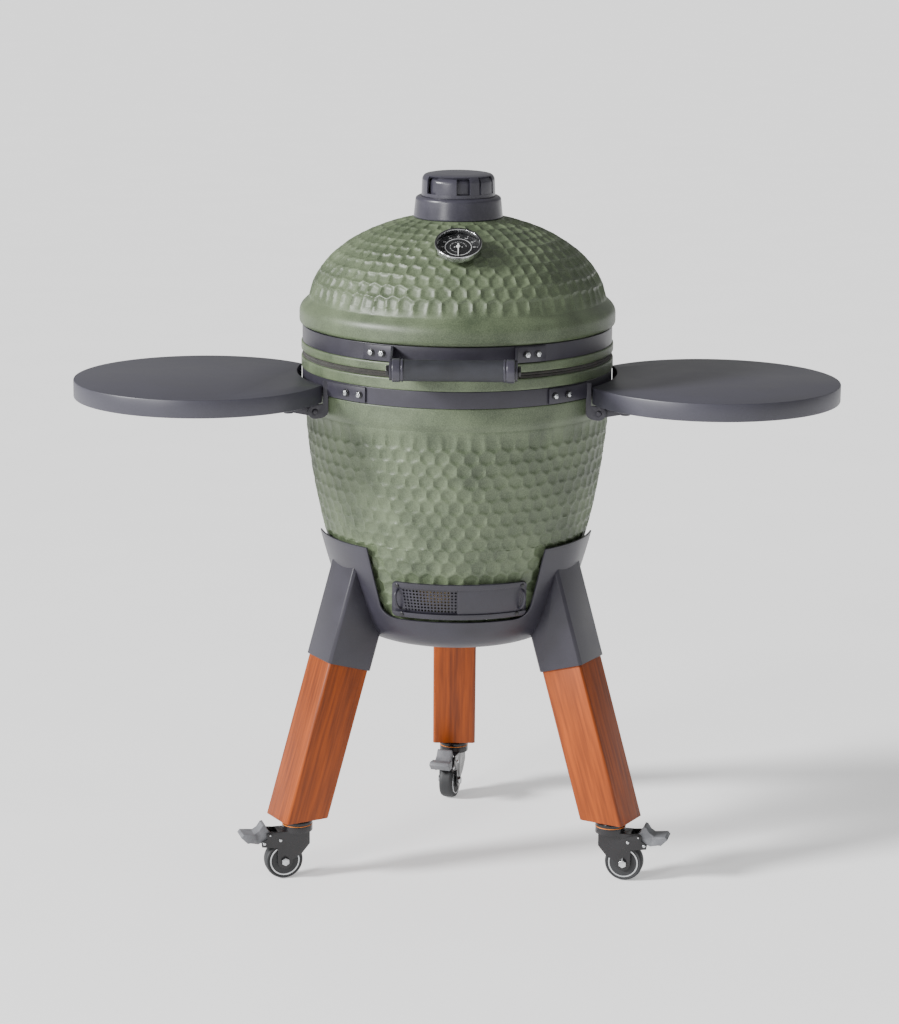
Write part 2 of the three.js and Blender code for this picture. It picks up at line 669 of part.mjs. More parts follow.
function handle() {
  const end = GRIP_HALF + COLLAR_LENGTH;
  const bar = join(
    rodX(GRIP_R, -GRIP_HALF, GRIP_HALF, SMALL_SIDES),
    rodX(GRIP_COLLAR_R, -end, -GRIP_HALF, SMALL_SIDES),
    rodX(GRIP_COLLAR_R, GRIP_HALF, end, SMALL_SIDES),
  );
  const grip = cut(bar, rodX(HANDLE_ROD_R + GAP, -end - 1, end + 1));
  const headFrom = HANDLE_ARM_X + HANDLE_PLATE + GAP;
  const rod = join(
    rodX(HANDLE_ROD_R, -headFrom - 1, headFrom + 1),
    rodX(HANDLE_ROD_R * 1.8, -headFrom - 5, -headFrom, 6),
    rodX(HANDLE_ROD_R * 1.8, headFrom, headFrom + 5, 6),
  );
  const assembly = group(
    handleBracket("left"),
    handleBracket("right"),
    piece("handle_grip", grip.translate(0, -HANDLE_REACH, HANDLE_Z), "rubber"),
    piece("handle_rod", rod.translate(0, -HANDLE_REACH, HANDLE_Z), "steel"),
  );
  assembly.rotation.z = radians(HANDLE_TURN);
  return assembly;
}

// ---------- hinge ----------
/** One ear from a band's flange to the hinge pin, drawn in (Y, Z), between two places along X. */
function hingeEar(bandZ, start) {
  const near = Math.sqrt(FLANGE_R ** 2 - start ** 2) + 1;
  const shape = new THREE.Shape();
  const above = bandZ > PIN_Z;
  shape.moveTo(near, bandZ + 2);
  shape.lineTo(near, bandZ + BAND_WIDTH - 2);
  if (above) {
    shape.absarc(HINGE_REACH, PIN_Z, HINGE_EAR_R, Math.PI * 0.25, -Math.PI, true);
  } else {
    shape.absarc(HINGE_REACH, PIN_Z, HINGE_EAR_R, Math.PI, -Math.PI * 0.25, true);
  }
  return extrudeX(shape, HINGE_EAR, start);
}

function hingeBracket(name, bandZ, inner) {
  const spread = THREE.MathUtils.radToDeg(Math.asin((inner + HINGE_EAR + 28) / BAND_R));
  const strap = flange(90 - spread, 90 + spread, bandZ);
  const ears = [hingeEar(bandZ, inner), hingeEar(bandZ, -inner - HINGE_EAR)];
  const reach = inner + 2 * HINGE_EAR;
  const hole = rodX(HINGE_PIN_R + RUN, -reach, reach).translate(0, HINGE_REACH, PIN_Z);
  const lipLow = LIP_Z - LIP_HEIGHT - GROOVE_SPARE;
  const lipHigh = LID_Z + LID_LIP_HEIGHT + GROOVE_SPARE;
  const clearLip = rodZ(LIP_R + GAP, lipLow, lipHigh, RING_SIDES);
  return piece(name, cut(join(strap, ...ears), hole, clearLip), "powderCoat");
}

function hingePin() {
  const end = HINGE_HALF + 2 * HINGE_EAR + 3 + GAP;
  const pin = join(
    rodX(HINGE_PIN_R, -end - 1, end + 1),
    rodX(HINGE_PIN_R + 3, end, end + 4),
    rodX(HINGE_PIN_R + 3, -end - 4, -end),
  );
  return piece("hinge_pin", pin.translate(0, HINGE_REACH, PIN_Z), "steel");
}

function hingeSpring(side) {
  const [from, to] = side === "left" ? [-HINGE_HALF + 2, -3] : [3, HINGE_HALF - 2];
  const coil = cut(rodX(SPRING_R, from, to), rodX(HINGE_PIN_R + RUN, from - 1, to + 1));
  return piece(`hinge_spring_${side}`, coil.translate(0, HINGE_REACH, PIN_Z), "steel");
}

// ---------- stand ----------
const RIM_Z = BASE_Z + CRADLE_HEIGHT;

function cradle() {
  const outside = CRADLE_CLEARANCE + CRADLE_SHEET;
  const outline = [
    ...bowlSide(RIM_Z, outside, GAP + CRADLE_SHEET, 4),
    [CRADLE_HOLE_R, BASE_Z - GAP - CRADLE_SHEET],
    [CRADLE_HOLE_R, BASE_Z - GAP],
    ...bowlSide(RIM_Z, CRADLE_CLEARANCE, GAP, 4).reverse(),
  ];
  const floor = BASE_Z + NOTCH_RISE;
  const notch = new THREE.Shape();
  const round = 22;
  notch.moveTo(NOTCH_TOP_HALF + 3, RIM_Z + 20);
  notch.lineTo(-NOTCH_TOP_HALF - 3, RIM_Z + 20);
  notch.lineTo(-NOTCH_FOOT_HALF - 4, floor + round);
  notch.quadraticCurveTo(-NOTCH_FOOT_HALF, floor, -NOTCH_FOOT_HALF + round, floor);
  notch.lineTo(NOTCH_FOOT_HALF - round, floor);
  notch.quadraticCurveTo(NOTCH_FOOT_HALF, floor, NOTCH_FOOT_HALF + 4, floor + round);
  const notches = NOTCH_AZIMUTHS.map((a) => extrudeY(notch, LIP_R, -LIP_R - 60).rotateZ(radians(a + 90)));
  return piece("cradle", cut(revolve(outline), ...notches), "powderCoat");
}

/** A square bar along a leg's line, from one distance to another above the underside of the bowl. */
function legBar(side, from, to, edge) {
  const h = side / 2;
  const corners = [
    [h, edge - h], [h, h - edge], [h - edge, h], [edge - h, h],
    [-h, h - edge], [-h, edge - h], [edge - h, -h], [h - edge, -h],
  ];
  return extrudeZ(shapeOf(corners), to - from, from).rotateY(-LEG_LEAN).translate(LEG_TOP_R, 0, BASE_Z);
}

function legSocket() {
  const mouth = -SOCKET_DROP;
  const outer = LEG_SIDE + 2 * (SOCKET_PLAY + SOCKET_WALL);
  const tube = cut(
    legBar(outer, mouth, CRADLE_HEIGHT * 0.85, LEG_EDGE + SOCKET_WALL / 2),
    legBar(LEG_SIDE + 2 * SOCKET_PLAY, mouth - 1, CRADLE_HEIGHT * 0.9, LEG_EDGE),
  );
  const filled = [
    [0, RIM_Z],
    ...bowlSide(RIM_Z, CRADLE_CLEARANCE + CRADLE_SHEET + GAP, 2 * GAP + CRADLE_SHEET, 4),
    [0, BASE_Z - 2 * GAP - CRADLE_SHEET],
  ];
  return cut(tube, revolve(filled));
}

function woodLeg() {
  const length = STAND_RISE / Math.cos(LEG_LEAN) + LEG_SIDE;
  const bar = legBar(LEG_SIDE, -length, LEG_INSERT - SOCKET_DROP, LEG_EDGE);
  const below = box([0, 2 * LEG_FOOT_R], [-LEG_SIDE, LEG_SIDE], [-2 * LEG_SIDE, CASTER_HEIGHT]);
  const bore = rodZ(CASTER_STEM_R + GAP, CASTER_HEIGHT - 1, CASTER_HEIGHT + CASTER_STEM + 2);
  return cut(bar, below, bore.translate(LEG_FOOT_R, 0, 0));
}

/** Leg, socket and caster of one corner of the stand, drawn along +X and turned to its place. */
function standLeg(side) {
  const corner = group(
    piece(`leg_socket_${side}`, legSocket(), "powderCoat"),
    piece(`leg_${side}`, woodLeg(), "timber"),
  );
  corner.rotation.z = radians(LEG_AZIMUTHS[side]);
  return corner;
}

// ---------- casters ----------
const FORK_HALF = WHEEL_WIDTH / 2 + FORK_PLAY; // inner face of a fork plate
const RACE_Z = CASTER_HEIGHT - GAP - RACE_HEIGHT; // seal under the fixed race
const CROWN_Z = RACE_Z - SEAL - RACE_HEIGHT + 1; // underside of the turning race

function casterTop(side) {
  const outline = [
    [0, RACE_Z],
    [RACE_R, RACE_Z],
    [RACE_R, RACE_Z + RACE_HEIGHT - 5],
    [RACE_R - 5, RACE_Z + RACE_HEIGHT],
    [CASTER_STEM_R, RACE_Z + RACE_HEIGHT],
    [CASTER_STEM_R, CASTER_HEIGHT + CASTER_STEM],
    [0, CASTER_HEIGHT + CASTER_STEM],
  ];
  return piece(`caster_top_${side}`, revolve(outline, SMALL_SIDES), "castIron");
}

function casterFork(side) {
  const plate = new THREE.Shape();
  plate.moveTo(-43, CROWN_Z - WHEEL_R + 3);
  plate.lineTo(-43, 29);
  plate.lineTo(-29, 12);
  plate.lineTo(-13, 2);
  plate.absarc(0, 0, 13, Math.PI, 0.1);
  plate.lineTo(13, 24);
  plate.lineTo(40, 28);
  plate.lineTo(41, 36);
  plate.lineTo(31, 42);
  plate.lineTo(32, 50);
  plate.lineTo(26, 54);
  plate.lineTo(16, CROWN_Z - WHEEL_R + 3);
  const outer = FORK_HALF + FORK_PLATE;
  const cheeks = [FORK_HALF, -outer].map((y) => extrudeY(plate, FORK_PLATE, y));
  const bridge = box([-43, 12], [-outer, outer], [CROWN_Z - WHEEL_R - 1, CROWN_Z - WHEEL_R + 3]);
  const pin = rodY(PEDAL_PIN_R, -outer - 1.5, outer + 1.5).translate(26, 0, 48);
  const crown = rodZ(RACE_R, CROWN_Z - WHEEL_R, CROWN_Z - WHEEL_R + RACE_HEIGHT - 1, SMALL_SIDES);
  const whole = join(...cheeks, bridge, pin, crown.translate(-WHEEL_TRAIL, 0, 0));
  const bore = rodY(AXLE_R + GAP, -outer - 1, outer + 1);
  return piece(`caster_fork_${side}`, cut(whole, bore), "powderCoat");
}

function casterWheel(side) {
  const half = WHEEL_WIDTH / 2;
  const outline = [
    [AXLE_R + RUN, -half],
    [WHEEL_R - 5, -half],
    [WHEEL_R, 5 - half],
    [WHEEL_R, half - 5],
    [WHEEL_R - 5, half],
    [AXLE_R + RUN, half],
  ];
  return piece(`caster_wheel_${side}`, revolve(outline, SMALL_SIDES).rotateX(Math.PI / 2), "rubber");
}

function casterAxle(side) {
  const head = FORK_HALF + FORK_PLATE + GAP;
  const bolt = join(
    rodY(AXLE_R, -head - 1, head + 1),
    rodY(AXLE_R + 3, head, head + 4, 6),
    rodY(AXLE_R + 3, -head - 4, -head, 6),
  );
  return piece(`caster_axle_${side}`, bolt, "steel");
}

function casterPedal(side) {
  const outline = [
    [20, 46], [30, 58], [34, 67], [38, 66], [44, 57], [55, 50],
    [72, 53], [76, 48], [65, 37], [46, 33], [34, 38], [24, 41],
  ];
  const half = FORK_HALF - 1;
  const tread = extrudeY(shapeOf(outline), 2 * half, -half);
  const tip = extrudeY(shapeOf([[50, 38], [50, 51], [72, 53], [76, 48], [65, 37]]), 36, -18);
  const bore = rodY(PEDAL_PIN_R + RUN, -half - 1, half + 1).translate(26, 0, 48);
  return piece(`caster_pedal_${side}`, cut(join(tread, tip), bore), "nylon");
}

function caster(side) {
  const azimuth = radians(LEG_AZIMUTHS[side]);
  const running = group(casterFork(side), casterWheel(side), casterAxle(side), casterPedal(side));
  running.position.set(WHEEL_TRAIL, 0, WHEEL_R);
  const turning = group(running, casterTop(side));
  turning.rotation.z = radians(CASTER_TRAILS[side]);
  turning.position.set(LEG_FOOT_R * Math.cos(azimuth), LEG_FOOT_R * Math.sin(azimuth), 0);
  return turning;
}

// ---------- side shelves ----------
const SHELF_TOP = LIP_Z - SHELF_DROP;
const SHELF_LOW = SHELF_TOP - SHELF_THICKNESS;
const SHELF_PIN_Z = SHELF_LOW - SHELF_PIN_DROP;

function shelfBoard() {
  const disc = revolve([
    [0, SHELF_LOW],
    [SHELF_R - 2, SHELF_LOW],
    [SHELF_R, SHELF_LOW + 2],
    [SHELF_R, SHELF_TOP - 3],
    [SHELF_R - 3, SHELF_TOP],
    [0, SHELF_TOP],
  ], 48).translate(SHELF_REACH, 0, 0);
  return cut(disc, rodZ(LIP_R + SHELF_MARGIN, SHELF_LOW - 1, SHELF_TOP + 1, 72));
}

/** The fixed bracket on the base band, with end = -1 for one end of the shelf and 1 for the other. */
function shelfBracket(end) {
  const armAngle = THREE.MathUtils.radToDeg(Math.asin((ARM_OFFSET - ARM_PLATE) / FLANGE_R));
  const angles = [end * armAngle, end * (armAngle + 20)].sort((a, b) => a - b);
  const strap = flange(angles[0], angles[1], BASE_BAND_Z);
  const root = Math.sqrt(FLANGE_R ** 2 - ARM_OFFSET ** 2) + 1;
  const low = SHELF_PIN_Z - SHELF_NOSE_R;
  const top = BASE_BAND_Z + BAND_WIDTH - 2;
  const boardEdge = SHELF_REACH - Math.sqrt(SHELF_R ** 2 - (ARM_OFFSET - ARM_PLATE) ** 2);
  const edge = boardEdge - 2 * GAP;
  const arm = new THREE.Shape();
  arm.moveTo(root, top);
  arm.lineTo(root, low + SHELF_NOSE_R);
  arm.quadraticCurveTo(root, low, SHELF_PIN_REACH, low);
  arm.absarc(SHELF_PIN_REACH, SHELF_PIN_Z, SHELF_NOSE_R, -Math.PI / 2, Math.PI / 2);
  arm.lineTo(edge, SHELF_PIN_Z + SHELF_NOSE_R);
  arm.lineTo(edge, top);
  const start = end > 0 ? ARM_OFFSET - ARM_PLATE : -ARM_OFFSET;
  const hole = rodY(SHELF_PIN_R + RUN, start - 5, start + 10).translate(SHELF_PIN_REACH, 0, SHELF_PIN_Z);
  return cut(join(strap, extrudeY(arm, ARM_PLATE, start)), hole);
}

/** The folding part under the board: a plate, two lugs and the pins they turn on. */
function shelfCarrier() {
  const lugOuter = ARM_OFFSET - ARM_PLATE - 1;
  const from = SHELF_PIN_REACH + 30;
  const plateHigh = SHELF_LOW - GAP;
  const plateLow = plateHigh - 3;
  const plate = box([from, from + CARRIER_LENGTH], [-lugOuter, lugOuter], [plateLow, plateHigh]);
  const shape = new THREE.Shape();
  shape.absarc(SHELF_PIN_REACH, SHELF_PIN_Z, 9, Math.PI / 2, Math.PI * 1.6);
  shape.lineTo(from + 60, plateLow - 1);
  shape.lineTo(from + 60, plateHigh);
  shape.lineTo(from - 20, plateHigh);
  const parts = [plate];
  for (const start of [-lugOuter, lugOuter - 3]) {
    parts.push(extrudeY(shape, 3, start));
  }
  for (const end of [-1, 1]) {
    const [a, b] = [end * (lugOuter - 2), end * (ARM_OFFSET + 3)].sort((p, q) => p - q);
    parts.push(rodY(SHELF_PIN_R, a, b).translate(SHELF_PIN_REACH, 0, SHELF_PIN_Z));
    parts.push(rodZ(8, plateLow - 14, plateLow + 1).translate(from + 12, end * (lugOuter - 9), 0));
  }
  return join(...parts);
}

/** One shelf, drawn along +X and turned to its side of the grill. */
function shelf(side) {
  const [azimuth, front] = side === "right" ? [-SHELF_SWEEP, -1] : [180 + SHELF_SWEEP, 1];
  const assembly = group(
    piece(`shelf_board_${side}`, shelfBoard(), "board"),
    piece(`shelf_carrier_${side}`, shelfCarrier(), "powderCoat"),
    piece(`shelf_bracket_${side}_front`, shelfBracket(front), "powderCoat"),
    piece(`shelf_bracket_${side}_rear`, shelfBracket(-front), "powderCoat"),
  );
  assembly.rotation.z = radians(azimuth);
  return assembly;
}

// ---------- the whole grill ----------
const gasketR = LIP_R - 2;
const lidGasketZ = LID_Z - GAP - GASKET_THICKNESS;

const base = group(
  bowl(),
  fireBox(),
  fireRing(),
  charcoalGrate(),
  cookingGrid(),
  ring("base_gasket", gasketR - GASKET_WIDTH, gasketR, LIP_Z + GAP, GASKET_THICKNESS, "felt"),
  ring("base_band", SHOULDER_R + GAP, BAND_R, BASE_BAND_Z, BAND_WIDTH, "powderCoat"),
  hingeBracket("hinge_base_bracket", BASE_BAND_Z, HINGE_HALF),
  hingePin(),
  hingeSpring("left"),
  hingeSpring("right"),
  draftFrame(),
  slidingPlate("draft_screen", SCREEN_OFF, -30.5, 0.5, -29.3),
  slidingPlate("draft_door", DOOR_OFF, DOOR_FROM, DOOR_TO, DOOR_TO - 1.2),
);

const lid = group(
  domeLid(),
  ring("lid_gasket", gasketR - GASKET_WIDTH, gasketR, lidGasketZ, GASKET_THICKNESS, "felt"),
  ring("lid_band", SHOULDER_R + GAP, BAND_R, LID_BAND_Z, BAND_WIDTH, "powderCoat"),
  hingeBracket("hinge_lid_bracket", LID_BAND_Z, HINGE_HALF + HINGE_EAR + 3),
  handle(),
  thermometer(),
  ventCollar(),
  ventCap(),
);

const stand = group(cradle());
for (const side of Object.keys(LEG_AZIMUTHS)) {
  stand.add(standLeg(side), caster(side));
}

const grill = group(base, lid, stand, shelf("left"), shelf("right"));
grill.updateMatrixWorld(true);
const bounds = new THREE.Box3().setFromObject(grill, true);
const middle = bounds.getCenter(new THREE.Vector3());
grill.position.set(-middle.x, -middle.y, -bounds.min.z);

export default grill;
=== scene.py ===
import bpy
import bmesh
import json
import math
import random
from mathutils import Matrix, Vector, kdtree

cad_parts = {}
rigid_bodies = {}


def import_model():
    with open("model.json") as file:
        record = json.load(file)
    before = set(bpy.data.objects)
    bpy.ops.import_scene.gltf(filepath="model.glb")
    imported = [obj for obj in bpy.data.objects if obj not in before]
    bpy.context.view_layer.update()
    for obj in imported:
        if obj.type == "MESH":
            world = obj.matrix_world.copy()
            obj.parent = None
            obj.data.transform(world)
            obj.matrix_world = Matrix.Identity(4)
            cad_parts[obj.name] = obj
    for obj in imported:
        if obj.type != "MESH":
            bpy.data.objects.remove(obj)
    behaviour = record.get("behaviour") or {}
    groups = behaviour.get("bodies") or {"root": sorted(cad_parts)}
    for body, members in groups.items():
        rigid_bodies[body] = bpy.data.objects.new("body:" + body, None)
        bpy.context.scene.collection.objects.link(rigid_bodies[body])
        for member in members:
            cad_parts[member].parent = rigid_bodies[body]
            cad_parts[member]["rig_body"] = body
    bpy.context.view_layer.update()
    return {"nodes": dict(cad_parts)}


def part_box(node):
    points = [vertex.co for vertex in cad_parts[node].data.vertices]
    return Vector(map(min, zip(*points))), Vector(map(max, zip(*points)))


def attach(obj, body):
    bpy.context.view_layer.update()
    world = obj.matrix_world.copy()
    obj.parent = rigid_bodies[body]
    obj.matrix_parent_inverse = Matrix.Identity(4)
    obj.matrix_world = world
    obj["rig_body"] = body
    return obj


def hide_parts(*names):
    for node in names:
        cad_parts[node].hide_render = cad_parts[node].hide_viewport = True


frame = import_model()

# ---------- places in millimetres about the grill's own axis: from the frame, or as designed ----------
MM = 0.001
GAP = 0.3
low_band, high_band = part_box("lid_band")
AXIS_Y = (low_band.y + high_band.y) / 2
ON_AXIS = Matrix.Translation((0, AXIS_Y, 0)) @ Matrix.Scale(MM, 4)


def span(node, axis=2):
    """Lowest and highest place of a node along one axis, in millimetres."""
    low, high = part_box(node)
    return low[axis] / MM, high[axis] / MM


BASE_Z, LIP_Z = span("bowl")
LID_Z = span("dome_lid")[0]
BASE_BAND = span("base_band")
LID_BAND = span("lid_band")
LIP_R, FLARE_R, SKIRT_R, SHOULDER_R = 264.0, 267.0, 262.0, 258.0
BELLY_R, WAIST_R, CORNER_R, FOOT_R = 247.8, 186.0, 170.0, 120.0
INSIDE_R = 233.0
CERAMIC_WALL, FLOOR_WALL = 25.0, 28.0
WAIST_Z, SHOULDER_Z, SKIRT_Z = BASE_Z + 51, LIP_Z - 90, LIP_Z - 80
DOME_R, DOME_RISE, DOME_Z = 252.0, 154.0, LID_Z + 75
VENT_SEAT_R, THROAT_R = 75.0, 48.0
DRAFT_TURN = 2.0
WALL_R = 204  # the bowl's wall at the draft door
DRAFT_Z = sum(span("draft_frame")) / 2
LEG_AZIMUTHS = {"left": 210, "right": 330, "rear": 90}
LEG_FOOT_R, LEG_LEAN = 308.0, math.atan2(308 - 217, 297)
CASTER_TRAILS = {"left": 195.8, "right": -12.9, "rear": 254}
SHELF_AZIMUTHS = {"left": 191.8, "right": -11.8}
SHELF_R, SHELF_REACH, SHELF_HOLLOW_R = 213.6, 435.0, 271.0
SHELF_LOW, SHELF_TOP = span("shelf_board_right")


# ---------- shapes: a shape is (points in mm, faces) ----------
def moved(shape, place):
    return [place @ Vector(p) for p in shape[0]], shape[1]


def together(*shapes):
    points, faces = [], []
    for more, cells in shapes:
        faces += [[i + len(points) for i in cell] for cell in cells]
        points += more
    return points, faces


def turned(profile, sides=64, ring=False):
    """An outline of (radius, height) turned about Z; ring joins its last point to its first."""
    points = []
    for r, z in profile:
        for i in range(sides):
            turn = 2 * math.pi * i / sides
            points.append(Vector((r * math.cos(turn), r * math.sin(turn), z)))
    rows = len(profile)
    faces = []
    for row in range(rows if ring else rows - 1):
        a, b = row * sides, (row + 1) % rows * sides
        for i in range(sides):
            j = (i + 1) % sides
            faces.append([a + i, a + j, b + j, b + i])
    return points, faces


def prism(outline, low, high):
    n = len(outline)
    points = [Vector((x, y, z)) for z in (low, high) for x, y in outline]
    faces = [list(range(n))[::-1], list(range(n, 2 * n))]
    faces += [[i, (i + 1) % n, n + (i + 1) % n, n + i] for i in range(n)]
    return points, faces


def hexagon(r, low, high):
    turns = [math.pi * i / 3 for i in range(6)]
    return prism([(r * math.cos(turn), r * math.sin(turn)) for turn in turns], low, high)


def tube(path, radius, sides=10):
    """A round bar along a list of points, with closed ends."""
    path = [Vector(p) for p in path]
    points, faces = [], []
    side = None
    for i, p in enumerate(path):
        along = (path[min(i + 1, len(path) - 1)] - path[max(i - 1, 0)]).normalized()
        if side is None:
            side = along.orthogonal().normalized()
        side = (side - along * side.dot(along)).normalized()
        up = along.cross(side)
        for k in range(sides):
            turn = 2 * math.pi * k / sides
            points.append(p + radius * (math.cos(turn) * side + math.sin(turn) * up))
    for i in range(len(path) - 1):
        for k in range(sides):
            a, b = i * sides + k, i * sides + (k + 1) % sides
            faces.append([a, b, b + sides, a + sides])
    last = (len(path) - 1) * sides
    faces += [list(range(sides))[::-1], list(range(last, last + sides))]
    return points, faces


def eased(outline, closed=False, steps=4):
    """Rounds the corners of (x, y, radius) points with arcs that touch both sides."""
    result = []
    n = len(outline)
    for i, (x, y, r) in enumerate(outline):
        if r == 0 or (not closed and i in (0, n - 1)):
            result.append((x, y))
            continue
        here = Vector((x, y))
        back = Vector(outline[i - 1][:2]) - here
        ahead = Vector(outline[(i + 1) % n][:2]) - here
        reach = min(r, back.length * 0.49, ahead.length * 0.49)
        a, b = here + back.normalized() * reach, here + ahead.normalized() * reach
        for k in range(steps + 1):
            t = k / steps
            p = a * (1 - t) ** 2 + here * 2 * t * (1 - t) + b * t ** 2
            result.append((p.x, p.y))
    return result


def around(r, degrees, z):
    """A point at an angle from the front, turning towards +X."""
    turn = math.radians(degrees)
    return Vector((r * math.sin(turn), -r * math.cos(turn), z))


def shell(outer, inner, angles, is_open=None, lift=None):
    """A wall between two outlines with as many rows each, turned round the axis, with windows left out."""
    rows, n = len(outer), len(angles)
    points = []
    for side in (outer, inner):
        for r, z in side:
            points += [around(r, a, z) for a in angles]
    if lift:
        lift(points, rows, n)
    back = rows * n

    def opened(row, i):
        if not is_open or not 0 <= row < rows - 1:
            return False
        return is_open(angles[i % n], outer[row][1], outer[row + 1][1])

    faces = []
    for row in range(rows - 1):
        for i in range(n):
            j = (i + 1) % n
            a, b, c, d = row * n + i, row * n + j, (row + 1) * n + j, (row + 1) * n + i
            if opened(row, i):
                continue
            faces += [[a, b, c, d], [back + d, back + c, back + b, back + a]]
            if opened(row, i + 1):
                faces.append([b, back + b, back + c, c])
            if opened(row, i - 1):
                faces.append([a, d, back + d, back + a])
            if opened(row + 1, i):
                faces.append([d, c, back + c, back + d])
            if opened(row - 1, i):
                faces.append([a, back + a, back + b, b])
    for row in (0, rows - 1):
        if outer[row][0] > 1:
            for i in range(n):
                j = (i + 1) % n
                a, b = row * n + i, row * n + j
                faces.append([a, b, back + b, back + a])
    return points, faces


def curved_panel(outer, inner, angles):
    """A closed piece of wall between two outlines, over part of a turn."""
    rows, n = len(outer), len(angles)
    points = [around(r, a, z) for side in (outer, inner) for r, z in side for a in angles]
    back = rows * n
    faces = []
    for row in range(rows - 1):
        for i in range(n - 1):
            a, b, c, d = row * n + i, row * n + i + 1, (row + 1) * n + i + 1, (row + 1) * n + i
            faces += [[a, b, c, d], [back + d, back + c, back + b, back + a]]
        for i in (0, n - 1):
            a, d = row * n + i, (row + 1) * n + i
            faces.append([a, d, back + d, back + a])
    for row in (0, rows - 1):
        for i in range(n - 1):
            a, b = row * n + i, row * n + i + 1
            faces.append([a, b, back + b, back + a])
    return points, faces


def without_loose(points, faces):
    """The same shape without the points that no face uses."""
    used = sorted({i for face in faces for i in face})
    order = {old: new for new, old in enumerate(used)}
    return [points[i] for i in used], [[order[i] for i in face] for face in faces]


def facing_out(r, angle, z):
    """The place of a part that stands straight out of a round wall."""
    turn = around(1, angle, 0).to_track_quat("Z", "Y").to_matrix().to_4x4()
    return Matrix.Translation(around(r, angle, z)) @ turn


# ---------- from a shape to a finished piece ----------
def placed(name, data):
    obj = bpy.data.objects.new(name, data)
    bpy.context.scene.collection.objects.link(obj)
    return obj


def keep_shown(obj):
    """Keeps what the modifiers show as the mesh itself."""
    bpy.context.view_layer.update()
    seen = obj.evaluated_get(bpy.context.evaluated_depsgraph_get())
    mesh = bpy.data.meshes.new_from_object(seen)
    obj.modifiers.clear()
    obj.data = mesh


def soften(obj, width):
    """Eases the sharp edges, as a maker breaks an edge, and keeps the result in the mesh."""
    edge = obj.modifiers.new("eased_edge", "BEVEL")
    edge.width = width * MM
    edge.segments = 2
    edge.limit_method = "ANGLE"
    edge.angle_limit = math.radians(35)
    keep_shown(obj)


def clean(mesh, flatten):
    work = bmesh.new()
    work.from_mesh(mesh)
    bmesh.ops.remove_doubles(work, verts=work.verts, dist=2e-6)
    bmesh.ops.dissolve_degenerate(work, edges=work.edges, dist=1e-6)
    if flatten:
        limit = math.radians(1)
        bmesh.ops.dissolve_limit(work, angle_limit=limit, verts=work.verts, edges=work.edges)
    bmesh.ops.recalc_face_normals(work, faces=work.faces)
    work.to_mesh(mesh)
    work.free()


def finished(obj, material, body, nodes, edge, flatten, smooth):
    clean(obj.data, flatten)
    if edge:
        soften(obj, edge)
    mesh = obj.data
    mesh.materials.clear()
    mesh.materials.append(material)
    mesh.polygons.foreach_set("use_smooth", [True] * len(mesh.polygons))
    mesh.set_sharp_from_angle(angle=math.radians(smooth))
    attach(obj, body)
    if nodes:
        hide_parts(*nodes)
    return obj


def make(name, shape, material, body, nodes=(), place=ON_AXIS, edge=0, smooth=32):
    points, faces = moved(shape, place)
    mesh = bpy.data.meshes.new(name)
    mesh.from_pydata(points, [], faces)
    return finished(placed(name, mesh), material, body, nodes, edge, False, smooth)


def refine(node, material, edge=0.6, smooth=32):
    """The machined piece as designed, with its edges eased and its round faces shaded round."""
    source = frame["nodes"][node]
    obj = placed(node + "_finished", source.data.copy())
    return finished(obj, material, source["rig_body"], [node], edge, True, smooth)


# ---------- materials ----------
def linear(text, alpha=1.0):
    """An sRGB hex colour as the linear numbers that a shader takes."""
    parts = [int(text[i:i + 2], 16) / 255 for i in (1, 3, 5)]
    return (*[c / 12.92 if c <= 0.04045 else ((c + 0.055) / 1.055) ** 2.4 for c in parts], alpha)


def add(tree, kind, inputs=None, **settings):
    """Adds a node with its settings, and its values or links by socket."""
    made = tree.nodes.new(kind)
    for key, value in settings.items():
        setattr(made, key, value)
    for socket, value in (inputs or {}).items():
        if isinstance(value, bpy.types.NodeSocket):
            tree.links.new(value, made.inputs[socket])
        else:
            made.inputs[socket].default_value = value
    return made


def surface(name, dark, light, grain, broad, gloss, relief, fixed, place=None, stretch=None):
    """Colour, gloss and relief that vary with a fine grain and a broad unevenness, both in mm."""
    material = bpy.data.materials.new(name)
    material.use_nodes = True
    tree = material.node_tree
    tree.nodes.clear()
    where = add(tree, "ShaderNodeTexCoord").outputs["Object"]
    if place:
        where = add(tree, "ShaderNodeMapping", {"Vector": where, "Rotation": place}).outputs[0]
    if stretch:
        where = add(tree, "ShaderNodeMapping", {"Vector": where, "Scale": stretch}).outputs[0]
    noises = []
    for size in (grain, broad):
        inputs = {"Vector": where, "Scale": 1 / (size * MM), "Detail": 3.0}
        noises.append(add(tree, "ShaderNodeTexNoise", inputs).outputs[0])
    fine, wide = noises
    both = add(tree, "ShaderNodeMath", {0: fine, 1: wide}, operation="ADD").outputs[0]
    share = add(tree, "ShaderNodeMapRange", {0: both, 1: 0.72, 2: 1.28, 3: 0.0, 4: 1.0}).outputs[0]
    mix = {0: share, 6: linear(dark), 7: linear(light)}
    colour = add(tree, "ShaderNodeMix", mix, data_type="RGBA").outputs[2]
    shine = add(tree, "ShaderNodeMapRange", {0: wide, 1: 0.3, 2: 0.7, 3: gloss[0], 4: gloss[1]}).outputs[0]
    bump = add(tree, "ShaderNodeBump", {"Height": fine, "Distance": relief * MM, "Strength": 1.0}).outputs[0]
    inputs = {"Base Color": colour, "Roughness": shine, "Normal": bump, **fixed}
    shader = add(tree, "ShaderNodeBsdfPrincipled", inputs).outputs[0]
    add(tree, "ShaderNodeOutputMaterial", {"Surface": shader})
    return material


def glazed_stoneware():
    """Matt sage glaze: soft broad highlights, and fine specks where the glaze breaks over grit."""
    return surface("glazed_stoneware", "#3c4633", "#626e54", 1.7, 60, (0.41, 0.5), 0.18, {"IOR": 1.5})


